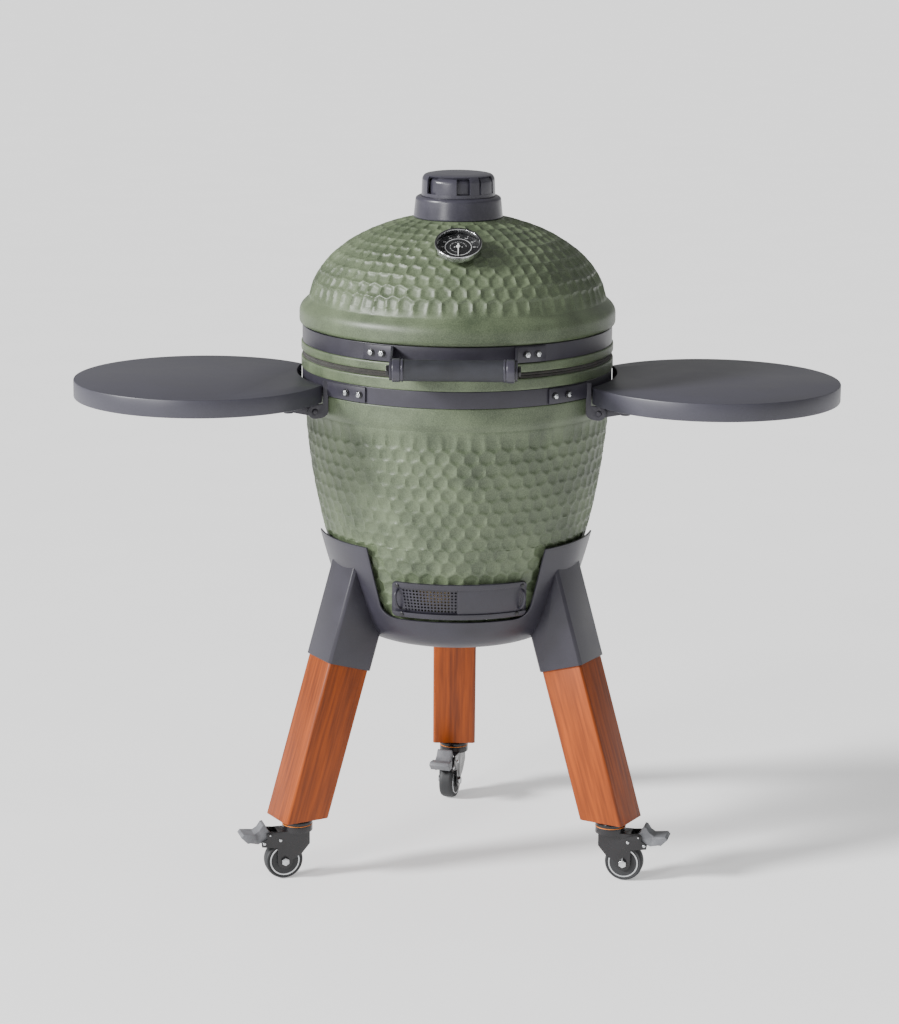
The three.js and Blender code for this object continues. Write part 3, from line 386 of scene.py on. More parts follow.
def fireclay():
    """Bare cast refractory: chalky and uneven."""
    return surface("fireclay", "#b39c78", "#d2bd99", 3, 40, (0.85, 0.95), 0.4, {"IOR": 1.5})


def bare_clay():
    """Unglazed fired clay inside the grill, greyed by smoke in broad patches."""
    return surface("bare_clay", "#6e675c", "#a39a8a", 2.5, 90, (0.85, 0.95), 0.3, {"IOR": 1.5})


def powder_coat():
    """Fine-textured slate powder coat: a low even sheen with a slight orange-peel."""
    return surface("powder_coat", "#24222a", "#2f2d37", 1.2, 50, (0.36, 0.44), 0.06, {"IOR": 1.5})


def coated_casting():
    """Satin-painted casting: smoother than the powder coat, so it shows a soft streak of light."""
    return surface("coated_casting", "#302f38", "#3b3943", 2.2, 30, (0.28, 0.36), 0.08, {"IOR": 1.5})


def coated_board():
    """Slate-grey coated shelf board: smooth, with a broad sheen from the light above it."""
    return surface("coated_board", "#35343c", "#403f49", 1.4, 120, (0.38, 0.46), 0.03, {"IOR": 1.5})


def bright_zinc():
    """Zinc-plated steel: a light grey metal with a slightly broken shine."""
    return surface("bright_zinc", "#a9abad", "#d2d4d6", 1.5, 12, (0.2, 0.34), 0.02, {"Metallic": 1.0})


def polished_steel():
    """Polished chromed steel: nearly a mirror, with a faint unevenness."""
    return surface("polished_steel", "#b4b5b6", "#d9dadb", 2, 20, (0.12, 0.2), 0.01, {"Metallic": 1.0})


def ground_bar():
    """Brushed stainless bar: a softer shine than polished steel."""
    return surface("ground_bar", "#8f8f8e", "#b5b5b3", 1.5, 18, (0.28, 0.4), 0.03, {"Metallic": 1.0})


def black_steel():
    """Black lacquered pressed steel of the casters."""
    return surface("black_steel", "#121113", "#1b1a1d", 1.5, 20, (0.22, 0.32), 0.03, {"IOR": 1.5})


def woven_felt():
    """Black fibrous felt: no shine, only a faint fuzz of light at its edge."""
    fixed = {"IOR": 1.45, "Sheen Weight": 0.2}
    return surface("woven_felt", "#1b1a18", "#34322d", 1.8, 14, (0.9, 1.0), 0.5, fixed)


def tread_rubber():
    """Hard black tyre rubber: dull, with a weak broad highlight."""
    return surface("tread_rubber", "#1c1d1f", "#2a2b2d", 1.2, 16, (0.55, 0.68), 0.05, {"IOR": 1.5})


def grip_rubber():
    """Black moulded rubber: dull, so that the knurl reads as fine shade."""
    return surface("grip_rubber", "#1a1b20", "#292a31", 1.0, 20, (0.5, 0.62), 0.05, {"IOR": 1.5})


def moulded_nylon():
    """Grey moulded nylon: satin, with the slight grain of its mould."""
    return surface("moulded_nylon", "#5c5d61", "#727377", 1.4, 12, (0.5, 0.62), 0.1, {"IOR": 1.53})


def orange_seal():
    """Orange plastic seal: a thin bright line above the fork."""
    return surface("orange_seal", "#c96f1e", "#dd8430", 1.0, 12, (0.4, 0.5), 0.02, {"IOR": 1.5})


def dial_black():
    """Matt black print, so that the marks stand out from it."""
    return surface("dial_black", "#08080a", "#0f1013", 1.0, 12, (0.55, 0.65), 0.01, {"IOR": 1.5})


def dial_white():
    """White enamel of the marks, the numbers and the pointer."""
    return surface("dial_white", "#d6d7d8", "#eeeeee", 1.0, 12, (0.4, 0.5), 0.01, {"IOR": 1.5})


def lens_glass():
    """The lens as a thin nearly clear film, which keeps only the sharp reflection of glass."""
    fixed = {"IOR": 1.45, "Alpha": 0.06}
    return surface("lens_glass", "#0c0e10", "#14171a", 4, 30, (0.01, 0.03), 0.0, fixed)


def oiled_hardwood(side):
    """Oiled orange-brown hardwood: long straight grain, 5 mm wide bands, with a low oil sheen."""
    turn = Matrix.Rotation(math.radians(LEG_AZIMUTHS[side]), 3, "Z") @ Matrix.Rotation(-LEG_LEAN, 3, "Y")
    place = tuple(turn.inverted().to_euler())
    fixed = {"IOR": 1.5, "Specular IOR Level": 0.35}
    name = "oiled_hardwood_" + side
    return surface(name, "#672a03", "#9c4606", 5, 26, (0.42, 0.56), 0.12, fixed, place, (1, 1, 0.05))


STONEWARE, FIRECLAY, POWDER = glazed_stoneware(), fireclay(), powder_coat()
BARE_CLAY = bare_clay()
CASTING, BOARD, ZINC = coated_casting(), coated_board(), bright_zinc()
CHROME, BAR, BLACK = polished_steel(), ground_bar(), black_steel()
FELT, TREAD, GRIP = woven_felt(), tread_rubber(), grip_rubber()
NYLON, SEAL, DIAL, WHITE, GLASS = moulded_nylon(), orange_seal(), dial_black(), dial_white(), lens_glass()


# ---------- ceramic ----------
STEP = 3.0  # spacing of the ceramic's mesh, fine enough to carry the dimples
COLUMNS = 530
DIMPLE_DEPTH = 3.5
DOME_PITCH, BOWL_PITCH = 24, 26  # from dimple to dimple; the bowl's is at its foot
MOULD_Z = BASE_Z + 183  # where the two halves of the bowl's mould met


def bowl_radius(z):
    """The bowl's wall from shoulder to waist, as one smooth curve."""
    t = (SHOULDER_Z - z) / (SHOULDER_Z - WAIST_Z)
    return SHOULDER_R * (1 - t) ** 2 + 2 * BELLY_R * t * (1 - t) + WAIST_R * t ** 2


def corner_point(t, foot_z):
    """A point of the curve that takes the bowl's wall in to its foot."""
    r = WAIST_R * (1 - t) ** 2 + 2 * CORNER_R * t * (1 - t) + FOOT_R * t ** 2
    return r, WAIST_Z * (1 - t) ** 2 + foot_z * (1 - (1 - t) ** 2)


def faded(share):
    """A share kept between none and all."""
    return min(1.0, max(0.0, share))


def spaced(outline, step):
    """The same outline with extra rows, none further apart than step."""
    rows = [outline[0]]
    for (r0, z0), (r1, z1) in zip(outline, outline[1:]):
        parts = max(1, math.ceil(math.hypot(r1 - r0, z1 - z0) / step))
        rows += [(r0 + (r1 - r0) * k / parts, z0 + (z1 - z0) * k / parts) for k in range(1, parts + 1)]
    return rows


def dimple_centres(outline, pitch, seed):
    """Rows of dimples up an outline, each row set half a dimple round from the last."""
    chance = random.Random(seed)
    centres = []
    run, row = 0.0, 0
    for (r0, z0), (r1, z1) in zip(outline, outline[1:]):
        run += math.hypot(r1 - r0, z1 - z0)
        size = pitch(z0)
        if run < size * 0.866:
            continue
        run = 0.0
        row += 1
        count = max(6, round(2 * math.pi * r0 / size))
        for i in range(count):
            turn = 360 * (i + row / 2 + chance.uniform(-0.1, 0.1)) / count
            centres.append((around(r0, turn, z0 + chance.uniform(-0.08, 0.08) * size), size))
    return centres


def dimpler(centres, strength):
    """Presses a shallow round hollow at each centre, with a soft ridge where two of them meet."""
    tree = kdtree.KDTree(len(centres))
    for i, (p, _) in enumerate(centres):
        tree.insert(p, i)
    tree.balance()

    def press(points, rows, n):
        for k in range(rows * n):
            p = points[k]
            share = strength(p.z, math.hypot(p.x, p.y))
            if share <= 0:
                continue
            (_, i, near), (_, _, far) = tree.find_n(p, 2)
            edge = min(1.0, (far - near) / (0.62 * centres[i][1]))
            depth = DIMPLE_DEPTH * share * (1 - (1 - edge) ** 2)
            out = Vector((p.x, p.y, (p.z - DOME_Z) * 1.8 if p.z > DOME_Z else 0)).normalized()
            points[k] = p - out * depth

    return press


ANGLES = [360 * i / COLUMNS for i in range(COLUMNS)]
WINDOW = (-23 + DRAFT_TURN, -4 + DRAFT_TURN)
WINDOW_Z = (DRAFT_Z - 23, DRAFT_Z + 23)


def in_inlet(angle, z0, z1):
    turn = (angle + 180) % 360 - 180
    return WINDOW[0] < turn < WINDOW[1] and WINDOW_Z[0] < (z0 + z1) / 2 < WINDOW_Z[1]


def bare_inside(obj, wall):
    """The glaze stops at the lip: the faces inside the middle of the wall are bare fired clay."""
    obj.data.materials.append(BARE_CLAY)
    for face in obj.data.polygons:
        middle = face.center / MM
        if math.hypot(middle.x, middle.y - AXIS_Y / MM) < wall(middle.z):
            face.material_index = 1


def bowl_middle(z):
    return bowl_radius(z) - 18 if z > BASE_Z + FLOOR_WALL - 1 else 0


def dome_middle(z):
    if z <= DOME_Z:
        return INSIDE_R + 7
    height = (z - DOME_Z) / (DOME_RISE - 17)
    return (DOME_R - 17) * math.sqrt(1 - height ** 2) if height < 1 else 0


def bowl():
    heights = [SHOULDER_Z + (WAIST_Z - SHOULDER_Z) * k / 40 for k in range(41)]
    side = [(bowl_radius(z), z) for z in heights]
    corner = [corner_point(k / 12, BASE_Z) for k in range(1, 13)]
    top = eased([
        (LIP_R - 6, LIP_Z, 0), (LIP_R, LIP_Z, 4), (LIP_R, LIP_Z - 19, 4), (SHOULDER_R, LIP_Z - 19, 1),
        (SHOULDER_R, BASE_BAND[0] - GAP, 1), (SKIRT_R, BASE_BAND[0] - GAP, 3), (SKIRT_R, SKIRT_Z + 2, 4),
        (SHOULDER_R - 0.6, SHOULDER_Z + 3, 4), (SHOULDER_R, SHOULDER_Z, 0),
    ])
    groove = ((MOULD_Z + 1.6, 0), (MOULD_Z, 1.0), (MOULD_Z - 1.6, 0))
    seam = [(bowl_radius(z) - deep, z) for z, deep in groove]
    above = [p for p in side[1:] if p[1] > MOULD_Z + 3]
    beneath = [p for p in side[1:] if p[1] < MOULD_Z - 3]
    outer = spaced(top + above + seam + beneath + corner + [(60, BASE_Z), (0, BASE_Z)], STEP)
    inner = [(max(0, min(r - CERAMIC_WALL, INSIDE_R)), max(z, BASE_Z + FLOOR_WALL)) for r, z in outer]

    def pitch(z):
        return BOWL_PITCH - 2 * (z - BASE_Z) / (SHOULDER_Z - BASE_Z)

    def strength(z, r):
        return faded((SHOULDER_Z + 2 - z) / 14) * faded((r - FOOT_R) / 20)

    dimples = dimple_centres(spaced(side + corner, 1.0), pitch, seed=4)
    wall = shell(outer, inner, ANGLES, in_inlet, dimpler(dimples, strength))
    obj = make("bowl_glazed", wall, STONEWARE, "root", ["bowl"], smooth=50)
    bare_inside(obj, bowl_middle)


def dome_lid():
    groove = LID_BAND[1] + GAP
    start, end = math.asin(13 / DOME_RISE), math.acos(VENT_SEAT_R / DOME_R)
    arch = []
    for k in range(61):
        turn = start + (end - start) * k / 60
        arch.append((DOME_R * math.cos(turn), DOME_Z + DOME_RISE * math.sin(turn)))
    lower = eased([
        (LIP_R - 6, LID_Z, 0), (LIP_R, LID_Z, 4), (LIP_R, LID_BAND[0] - GAP, 4),
        (SHOULDER_R, LID_BAND[0] - GAP, 1), (SHOULDER_R, groove, 1), (FLARE_R, groove + 3, 8),
        (FLARE_R, groove + 29, 9), (arch[0][0], arch[0][1], 0),
    ])
    outer = spaced(lower + arch[1:] + [(THROAT_R, arch[-1][1])], STEP)
    inner = []
    for r, z in outer:
        if z <= DOME_Z:
            inner.append((INSIDE_R - 6 * max(0, (z - LID_Z) / 75), z))
            continue
        turn = math.atan2((z - DOME_Z) / DOME_RISE, r / DOME_R)
        reach = (DOME_R - CERAMIC_WALL) * math.cos(turn)
        inner.append((max(THROAT_R, reach), DOME_Z + (DOME_RISE - CERAMIC_WALL) * math.sin(turn)))

    def strength(z, r):
        return faded((z - arch[0][1]) / 12) * faded((r - VENT_SEAT_R) / 8)

    dimples = dimple_centres(spaced(arch, 1.0), lambda z: DOME_PITCH, seed=9)
    wall = shell(outer, inner, ANGLES, None, dimpler(dimples, strength))
    obj = make("dome_lid_glazed", wall, STONEWARE, "lid", ["dome_lid"], smooth=50)
    bare_inside(obj, dome_middle)


def plain_ring(name, node, inner_r, outer_r, round_by, material, body, sides=180):
    low, high = span(node)
    outer = [(outer_r, low, round_by), (outer_r, high, round_by)]
    profile = eased([(inner_r, low, 0.3), *outer, (inner_r, high, 0.3)], True)
    make(name, turned(profile, sides, True), material, body, [node])


def fire_parts():
    for node, r in (("fire_box", None), ("fire_ring", 205.4)):
        low, high = span(node)
        if r:
            profile = [(r, low, 2), (r + 20, low, 3), (r + 20, high, 3), (r, high, 3)]
        else:
            foot, middle = low + 51, (low + high) / 2
            out = [bowl_radius(z) - 30 for z in (foot, middle, high)]
            profile = [(95, low, 2), (115, low, 2), (out[0], foot, 6), (out[1], middle, 0), (out[2], high, 3),
                       (out[2] - 20, high, 3), (164.3, low + 108, 2), (142.3, low + 108, 3)]
        make(node + "_cast", turned(eased(profile, True), 144, True), FIRECLAY, "root", [node])


def cooking_grid():
    low, high = span("cooking_grid")
    z = (low + high) / 2
    rim = span("cooking_grid", 0)[1] - 3
    turns = [2 * math.pi * k / 12 for k in range(12)]
    section = [(rim + 3 * math.cos(turn), z + 3 * math.sin(turn)) for turn in turns]
    bars = [turned(section, 120, True)]
    for i in range(-14, 15):
        x = i * 15
        half = math.sqrt(rim ** 2 - x ** 2)
        bars.append(tube([(x, -half, z), (x, half, z)], 2.0))
    bars.append(tube([(-rim, 0, z - 0.8), (rim, 0, z - 0.8)], 2.1))
    make("cooking_grid_bars", together(*bars), BAR, "root", ["cooking_grid"])


# ---------- vent ----------
def vent_collar():
    low, high = span("vent_collar")
    shoulder = low + 36
    outer = spaced(eased([(VENT_SEAT_R - 1, low, 0), (VENT_SEAT_R, low + 1.5, 1), (71.7, shoulder - 3, 4),
                          (67, shoulder, 2), (THROAT_R, shoulder, 0), (THROAT_R, high, 0)]), 2)
    inner = [(44.0, z) for _, z in outer]

    def opened(angle, z0, z1):
        turn = angle % 180
        return 74 < turn < 116 and shoulder + 5 < (z0 + z1) / 2 < high - 4

    make("vent_collar_cast", shell(outer, inner, [i * 1.0 for i in range(360)], opened),
         CASTING, "lid", ["vent_collar"])


def vent_cap():
    low, high = span("vent_cap")
    side = [(62, low, 0), (61, high - 10, 3), (57, high - 3.5, 4), (44, high - 1, 6), (0, high, 0)]
    outer = spaced(eased(side), 1.5)
    inner = [(max(0, r - 3) if z < high - 9 else r * 0.94, min(z, high - 8)) for r, z in outer]

    def opened(angle, z0, z1):
        turn = (angle + 90) % 180 - 90
        window = -58 < turn < 18.5 or 34 < turn < 68
        return window and low + 5.5 < (z0 + z1) / 2 < high - 4.5

    make("vent_cap_cast", shell(outer, inner, [i * 0.5 for i in range(720)], opened),
         CASTING, "vent_cap", ["vent_cap"])
    panels = []
    spans = ((-38, -3, 61.4, 9.5), (-60, -38, 55, 9), (-3, 20, 54, 9), (38, 66, 61.0, 8.5))
    for half_turn in (0, 180):
        place = Matrix.Rotation(math.radians(half_turn), 4, "Z")
        for start, end, r, top in spans:
            outline = eased([(r - 3, low + 4, 0), (r, low + 4, 0.5), (r - 0.6, high - top - 3, 3),
                             (r - 6, high - top + 2.5, 1), (r - 9, high - top + 2.5, 0)])
            inside = [(q - 2.6, z) for q, z in outline]
            arc = [start + (end - start) * k / 16 for k in range(17)]
            panels.append(moved(curved_panel(outline, inside, arc), place))
    make("vent_cap_panels", together(*panels), CASTING, "vent_cap")


# ---------- thermometer ----------
GAUGE_REACH = 175.0


def gauge_place():
    up = DOME_Z + DOME_RISE * math.sqrt(1 - (GAUGE_REACH / DOME_R) ** 2)
    tilt = math.atan2(GAUGE_REACH / DOME_R ** 2, (up - DOME_Z) / DOME_RISE ** 2)
    return ON_AXIS @ Matrix.Translation((0, -GAUGE_REACH, up)) @ Matrix.Rotation(tilt, 4, "X")


def thermometer():
    place = gauge_place()
    case = eased([(3.3, 7, 0), (36.5, 7, 1), (38.5, 10, 2), (38.5, 19.5, 1.2), (37, 20.4, 1),
                  (35, 20.4, 1), (34.5, 17, 1), (36, 9.5, 0.5), (3.3, 9.5, 0)], True)
    make("thermometer_bezel", turned(case, 96, True), CHROME, "lid", ["thermometer_case"], place)
    dial = eased([(0, 9.8, 0), (34.8, 9.8, 0.3), (34.8, 10.8, 0.3), (0, 10.8, 0)])
    make("thermometer_face", turned(dial, 96), DIAL, "lid", ["thermometer_dial"], place)
    face, ink, sweep = 10.85, 0.12, 270
    marks = []
    for i in range(46):
        turn = math.radians(-90 - sweep * i / 45)
        long = i % 5 == 0
        start, end, half = (30.2, 32.2, 0.35) if long else (12.6, 13.6, 0.25)
        across = Matrix.Rotation(turn, 4, "Z")
        outline = [(start, -half), (end, -half), (end, half), (start, half)]
        marks.append(moved(prism(outline, face, face + ink), across))
    ring = [(20.9, face), (21.7, face), (21.7, face + ink), (20.9, face + ink)]
    marks.append(turned(ring, 72, True))
    for x in (-6, 6):
        dot = turned([(0, face), (1.1, face), (1.1, face + ink), (0, face + ink)], 16)
        marks.append(moved(dot, Matrix.Translation((x, 0, 0))))
    make("thermometer_marks", together(*marks), WHITE, "lid", (), place)
    for i in range(10):
        turn = math.radians(-90 - sweep * i / 9)
        text = bpy.data.curves.new(f"dial_number_{i}", "FONT")
        text.body = str(50 * i)
        text.size = 3.3 * MM
        text.extrude = 0.06 * MM
        text.align_x = text.align_y = "CENTER"
        number = placed(f"dial_number_{i}", text)
        at = Matrix.Translation((26 * math.cos(turn), 26 * math.sin(turn), face + 0.1))
        number.matrix_world = place @ at @ Matrix.Scale(1 / MM, 4)
        text.materials.append(WHITE)
        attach(number, "lid")
    blade = prism([(-1.3, 8), (1.3, 8), (0.5, -26), (-0.5, -26)], 11.9, 12.6)
    hub = turned(eased([(0, 11.8, 0), (3.4, 11.8, 0.3), (3.2, 13.4, 0.8), (0, 13.6, 0)]), 32)
    pointer = together(blade, hub)
    make("thermometer_pointer", pointer, WHITE, "needle", ["thermometer_needle"], place)
    rim = eased([(35.2, 20.4, 0), (38.0, 20.4, 0.2), (37.6, 21, 0.6), (35.2, 21, 0.4)], True)
    make("thermometer_rim", turned(rim, 96, True), BLACK, "lid", (), place)
    lens = turned([(0, 17), (34, 17), (34, 18.2), (0, 18.6)], 72)
    make("thermometer_lens", lens, GLASS, "lid", ["thermometer_glass"], place)
    refine("thermometer_probe", CHROME, 0.2)


# ---------- bolts, handle and brackets ----------
def washer(r=6.0):
    return turned(eased([(0, 0, 0), (r, 0, 0), (r, 0.9, 0.4), (0, 0.9, 0)]), 28)


def bolt(r=4.6):
    """A hex nut with the rounded end of the bolt through it."""
    nut = hexagon(r, 0.9, 4.2)
    stud = turned(eased([(0, 4, 0), (r * 0.55, 4, 0), (r * 0.55, 5.6, 1), (0, 6, 0)]), 16)
    return together(nut, stud)


def bolts(name, spots, body):
    """Bolts standing out of a band, each at (radius, angle from the front, height)."""
    for part, shape, material in (("nuts", bolt(), ZINC), ("washers", washer(), BLACK)):
        shapes = []
        for r, angle, z in spots:
            shapes.append(moved(shape, facing_out(r, angle, z)))
        make(f"{name}_{part}", together(*shapes), material, body, (), edge=0.25)


STRAP_R = 266.5
HANDLE_TURN, HANDLE_REACH = -1.2, 310
GRIP_R, GRIP_HALF, KNURL = 17.0, 80, 0.35


def handle():
    for side in ("left", "right"):
        refine(f"handle_bracket_{side}", POWDER, 0.7)
    z = sum(LID_BAND) / 2
    spots = [(STRAP_R, HANDLE_TURN + sign * angle, z) for sign in (-1, 1) for angle in (26.2, 30.5)]
    bolts("handle_bolts", spots, "lid")
    refine("handle_rod", BLACK, 0.5)
    z = span("lid_band")[0] - 1
    place = (ON_AXIS @ Matrix.Rotation(math.radians(HANDLE_TURN), 4, "Z")
             @ Matrix.Translation((0, -HANDLE_REACH, z))
             @ Matrix.Rotation(math.pi / 2, 4, "Y"))
    pitch, around_count, fine = 3.6, 30, 5
    steps = int(2 * GRIP_HALF / pitch * fine)
    sides = around_count * fine
    points = []
    for i in range(steps + 1):
        along = -GRIP_HALF + 2 * GRIP_HALF * i / steps
        for k in range(sides):
            u, v = along / pitch, k / fine
            knurl = KNURL * abs(math.sin(math.pi * (u + v))) * abs(math.sin(math.pi * (u - v)))
            r = GRIP_R + knurl * min(1, (GRIP_HALF - abs(along)) / 3)
            turn = 2 * math.pi * k / sides
            points.append(Vector((r * math.cos(turn), r * math.sin(turn), along)))
    faces = []
    for i in range(steps):
        for k in range(sides):
            j = (k + 1) % sides
            faces.append([i * sides + k, i * sides + j, (i + 1) * sides + j, (i + 1) * sides + k])
    faces += [list(range(sides))[::-1], list(range(steps * sides, steps * sides + sides))]
    grip = (points, faces)
    make("handle_grip_knurled", grip, GRIP, "lid", ["handle_grip"], place, smooth=60)
    collars = []
    for sign in (-1, 1):
        outline = eased([(0, 80, 0), (18.6, 80, 1), (18.6, 82.5, 0.8), (17.6, 83, 0.5), (17.6, 85, 0.5),
                         (19, 85.5, 0.8), (19, 98, 2), (0, 98, 0)])
        collars.append(turned([(r, sign * h) for r, h in outline], 64))
    make("handle_collars", together(*collars), CASTING, "lid", (), place)


def hinge():
    for node in ("hinge_base_bracket", "hinge_lid_bracket"):
        refine(node, POWDER, 0.7)
    refine("hinge_pin", ZINC, 0.5)
    for side, (start, end) in (("left", (-37, -5)), ("right", (5, 37))):
        turns = 6.5
        path = []
        for k in range(int(turns * 20) + 1):
            turn = 2 * math.pi * k / 20
            path.append((start + (end - start) * k / (turns * 20), 290 + 10.5 * math.cos(turn),
                         (LIP_Z + LID_Z) / 2 + 10.5 * math.sin(turn)))
        make(f"hinge_coil_{side}", tube(path, 2.0), ZINC, "root", [f"hinge_spring_{side}"])


# ---------- draft door ----------
def on_wall(across, z, off):
    """A point off the bowl's wall, at a distance across in mm along the wall from the draft door's middle."""
    r = bowl_radius(z) + off
    return around(r, DRAFT_TURN + math.degrees(across / WALL_R), z)


def loop_pull(degrees, off):
    path = []
    for k in range(17):
        turn = math.pi * k / 16
        z = DRAFT_Z - 17 * math.cos(turn)
        path.append(around(bowl_radius(z) + off + 14 * math.sin(turn), DRAFT_TURN + degrees, z))
    return tube(path, 2.2, 14)


def draft_screen():
    """Perforated sheet: 3.9 mm holes every 5.8 mm, each a ring of eight small faces in its square."""
    pitch, hole = 5.8, 1.95
    columns, rows = 19, 9
    left = -30.5 * math.pi / 180 * WALL_R
    low = DRAFT_Z - rows * pitch / 2
    off, thick = 2.6, 1.2
    square = [(-1, -1), (0, -1), (1, -1), (1, 0), (1, 1), (0, 1), (-1, 1), (-1, 0)]
    points, faces = [], []
    for i in range(columns):
        for j in range(rows):
            x, z = left + (i + 0.5) * pitch, low + (j + 0.5) * pitch
            perforated = 2 <= i <= 17 and 0 < j < rows - 1
            edge = [(x + a * pitch / 2, z + b * pitch / 2) for a, b in square]
            reach = [(a, b, math.hypot(a, b)) for a, b in square]
            round_hole = [(x + hole * a / far, z + hole * b / far) for a, b, far in reach]
            for near in (0, 1):
                for ring in (edge, round_hole):
                    points += [on_wall(px, pz, off + thick * near) for px, pz in ring]
            base = len(points) - 32
            at_rim = (j == 0, i == columns - 1, j == rows - 1, i == 0)
            for k in range(8):
                m = (k + 1) % 8
                e, h = base, base + 8
                if perforated:
                    faces.append([e + k, e + m, h + m, h + k])
                    faces.append([e + 16 + k, h + 16 + k, h + 16 + m, e + 16 + m])
                    faces.append([h + k, h + m, h + 16 + m, h + 16 + k])
                if at_rim[k // 2]:
                    faces.append([e + k, e + 16 + k, e + 16 + m, e + m])
            if not perforated:
                faces.append([base + k for k in range(8)])
                faces.append([base + 16 + k for k in range(8)][::-1])
    sheet = without_loose(points, faces)
    make("draft_screen_sheet", together(sheet, loop_pull(-29.3, off + 0.6)),
         POWDER, "draft_screen", ["draft_screen"])


def draft():
    refine("draft_frame", POWDER, 0.4)
    refine("draft_door", POWDER, 0.25)
    draft_screen()
    spots = []
    for degrees in (-28.6, 28.6):
        for up in (-26, 26):
            z = DRAFT_Z + up
            spots.append((bowl_radius(z) + 9.4, DRAFT_TURN + degrees, z))
    shapes = []
    for r, angle, z in spots:
        head = turned(eased([(0, -1, 0), (3.6, -1, 0), (3.4, 1, 0.8), (0, 1.8, 0)]), 20)
        shapes.append(moved(head, facing_out(r, angle, z)))
    make("draft_screws", together(*shapes), BLACK, "root")


# ---------- stand ----------
def cradle():
    """A bent sheet cup with three wide notches: three arms stand up from one ring."""
    low, high = span("cradle")
    floor = BASE_Z + 54
    outside = 9.0
    rise = []
    for k in range(31):
        z = floor + (high - floor) * (k / 30) ** 1.5
        share = (z - floor) / (high - floor)
        near = min(1.0, (z - floor) / 22)
        half = 98 + 24 * math.sqrt(1 - (1 - near) ** 2) + 27 * share
        rise.append((z, bowl_radius(z) + outside, half))
    below = []
    for k in range(1, 9):
        z = floor - (floor - WAIST_Z) * k / 8
        below.append((z, bowl_radius(z) + outside))
    for k in range(1, 13):
        r, z = corner_point(k / 12, BASE_Z - 3.3)
        below.append((z, r + outside))
    below.append((low, 60))
    arm_steps, notch_steps = 28, 24
    lowest = math.degrees(math.asin(rise[0][2] / rise[0][1]))
    points, faces = [], []

    def column_angles(half_angle):
        angles = []
        for middle in (0, 120, 240):
            angles += [middle - half_angle + 2 * half_angle * k / notch_steps for k in range(notch_steps)]
            start, end = middle + half_angle, middle + 120 - half_angle
            angles += [start + (end - start) * k / arm_steps for k in range(arm_steps)]
        return angles

    count = 3 * (arm_steps + notch_steps)
    rows = [(z, r, math.degrees(math.asin(half / r))) for z, r, half in reversed(rise)]
    rows += [(z, r, lowest) for z, r in below]
    for z, r, half_angle in rows:
        points += [around(r, a, z) for a in column_angles(half_angle)]
    solid_from = len(rise) - 1
    for row in range(len(rows) - 1):
        for i in range(count):
            in_notch = i % (arm_steps + notch_steps) < notch_steps
            if in_notch and row < solid_from:
                continue
            j = (i + 1) % count
            faces.append([row * count + i, row * count + j, (row + 1) * count + j, (row + 1) * count + i])
    points, faces = without_loose(points, faces)
    mesh = bpy.data.meshes.new("cradle_sheet")
    mesh.from_pydata([ON_AXIS @ p for p in points], [], faces)
    obj = placed("cradle_sheet", mesh)
    clean(mesh, False)
    first = mesh.polygons[0]
    outward = first.normal.dot(first.center - Vector((0, AXIS_Y, first.center.z)))
    thick = obj.modifiers.new("sheet", "SOLIDIFY")
    thick.thickness = 3 * MM
    thick.offset = -1 if outward > 0 else 1
    keep_shown(obj)
    finished(obj, POWDER, "root", ["cradle"], 0.6, False, 32)


def legs():
    for side in LEG_AZIMUTHS:
        refine(f"leg_socket_{side}", POWDER, 0.8)
        refine(f"leg_{side}", oiled_hardwood(side), 1.0)


def caster(side):
    turn = math.radians(LEG_AZIMUTHS[side])
    swivel = Matrix.Translation((LEG_FOOT_R * math.cos(turn), LEG_FOOT_R * math.sin(turn), 0))
    swivel = ON_AXIS @ swivel @ Matrix.Rotation(math.radians(CASTER_TRAILS[side]), 4, "Z")
    axle = swivel @ Matrix.Translation((25, 0, 32.5))
    body = f"caster_{side}"
    refine(f"caster_fork_{side}", BLACK, 0.7)
    refine(f"caster_pedal_{side}", NYLON, 1.4)
    refine(f"caster_axle_{side}", ZINC, 0.5)
    low, high = span(f"caster_top_{side}")
    race = turned(eased([(0, low, 0), (26, low, 1.5), (26, low + 6.5, 5), (20, low + 11.8, 3),
                         (6, low + 12, 0), (6, high, 0), (0, high, 0)]), 64)
    make(f"caster_race_{side}", race, BLACK, "root", [f"caster_top_{side}"], swivel)
    under, over = low - 1.1, low - 0.1
    seal = eased([(20, under, 0), (26.2, under, 0.4), (26.2, over, 0.4), (20, over, 0)], True)
    make(f"caster_seal_{side}", turned(seal, 64, True), SEAL, body, (), swivel)
    across = axle @ Matrix.Rotation(math.pi / 2, 4, "X")
    wheel = eased([(4.4, -12.5, 0.5), (24, -12.5, 1), (26, -11.5, 1), (30, -13, 3), (32.5, -8, 4),
                   (32.5, 8, 4), (30, 13, 3), (26, 11.5, 1), (24, 12.5, 1), (4.4, 12.5, 0.5)], True)
    make(f"caster_tyre_{side}", turned(wheel, 96, True), TREAD, f"wheel_{side}",
         [f"caster_wheel_{side}"], across)
    rings = []
    for sign in (-1, 1):
        ring = [(23.2, 12.3), (25.8, 12.3), (25.6, 13.0), (23.4, 13.0)]
        rings.append(turned([(r, sign * h) for r, h in ring], 72, True))
    make(f"caster_ring_{side}", together(*rings), ZINC, f"wheel_{side}", (), across)
    rivets = []
    for x, z in ((26, 48), (36, 34), (8, 38)):
        for sign in (-1, 1):
            head = turned(eased([(0, 0, 0), (3, 0, 0), (2.6, 1.3, 0.8), (0, 1.7, 0)]), 20)
            outwards = Matrix.Rotation(-sign * math.pi / 2, 4, "X")
            rivets.append(moved(head, Matrix.Translation((x, sign * 17, z)) @ outwards))
    make(f"caster_rivets_{side}", together(*rivets), ZINC, body, (), axle)


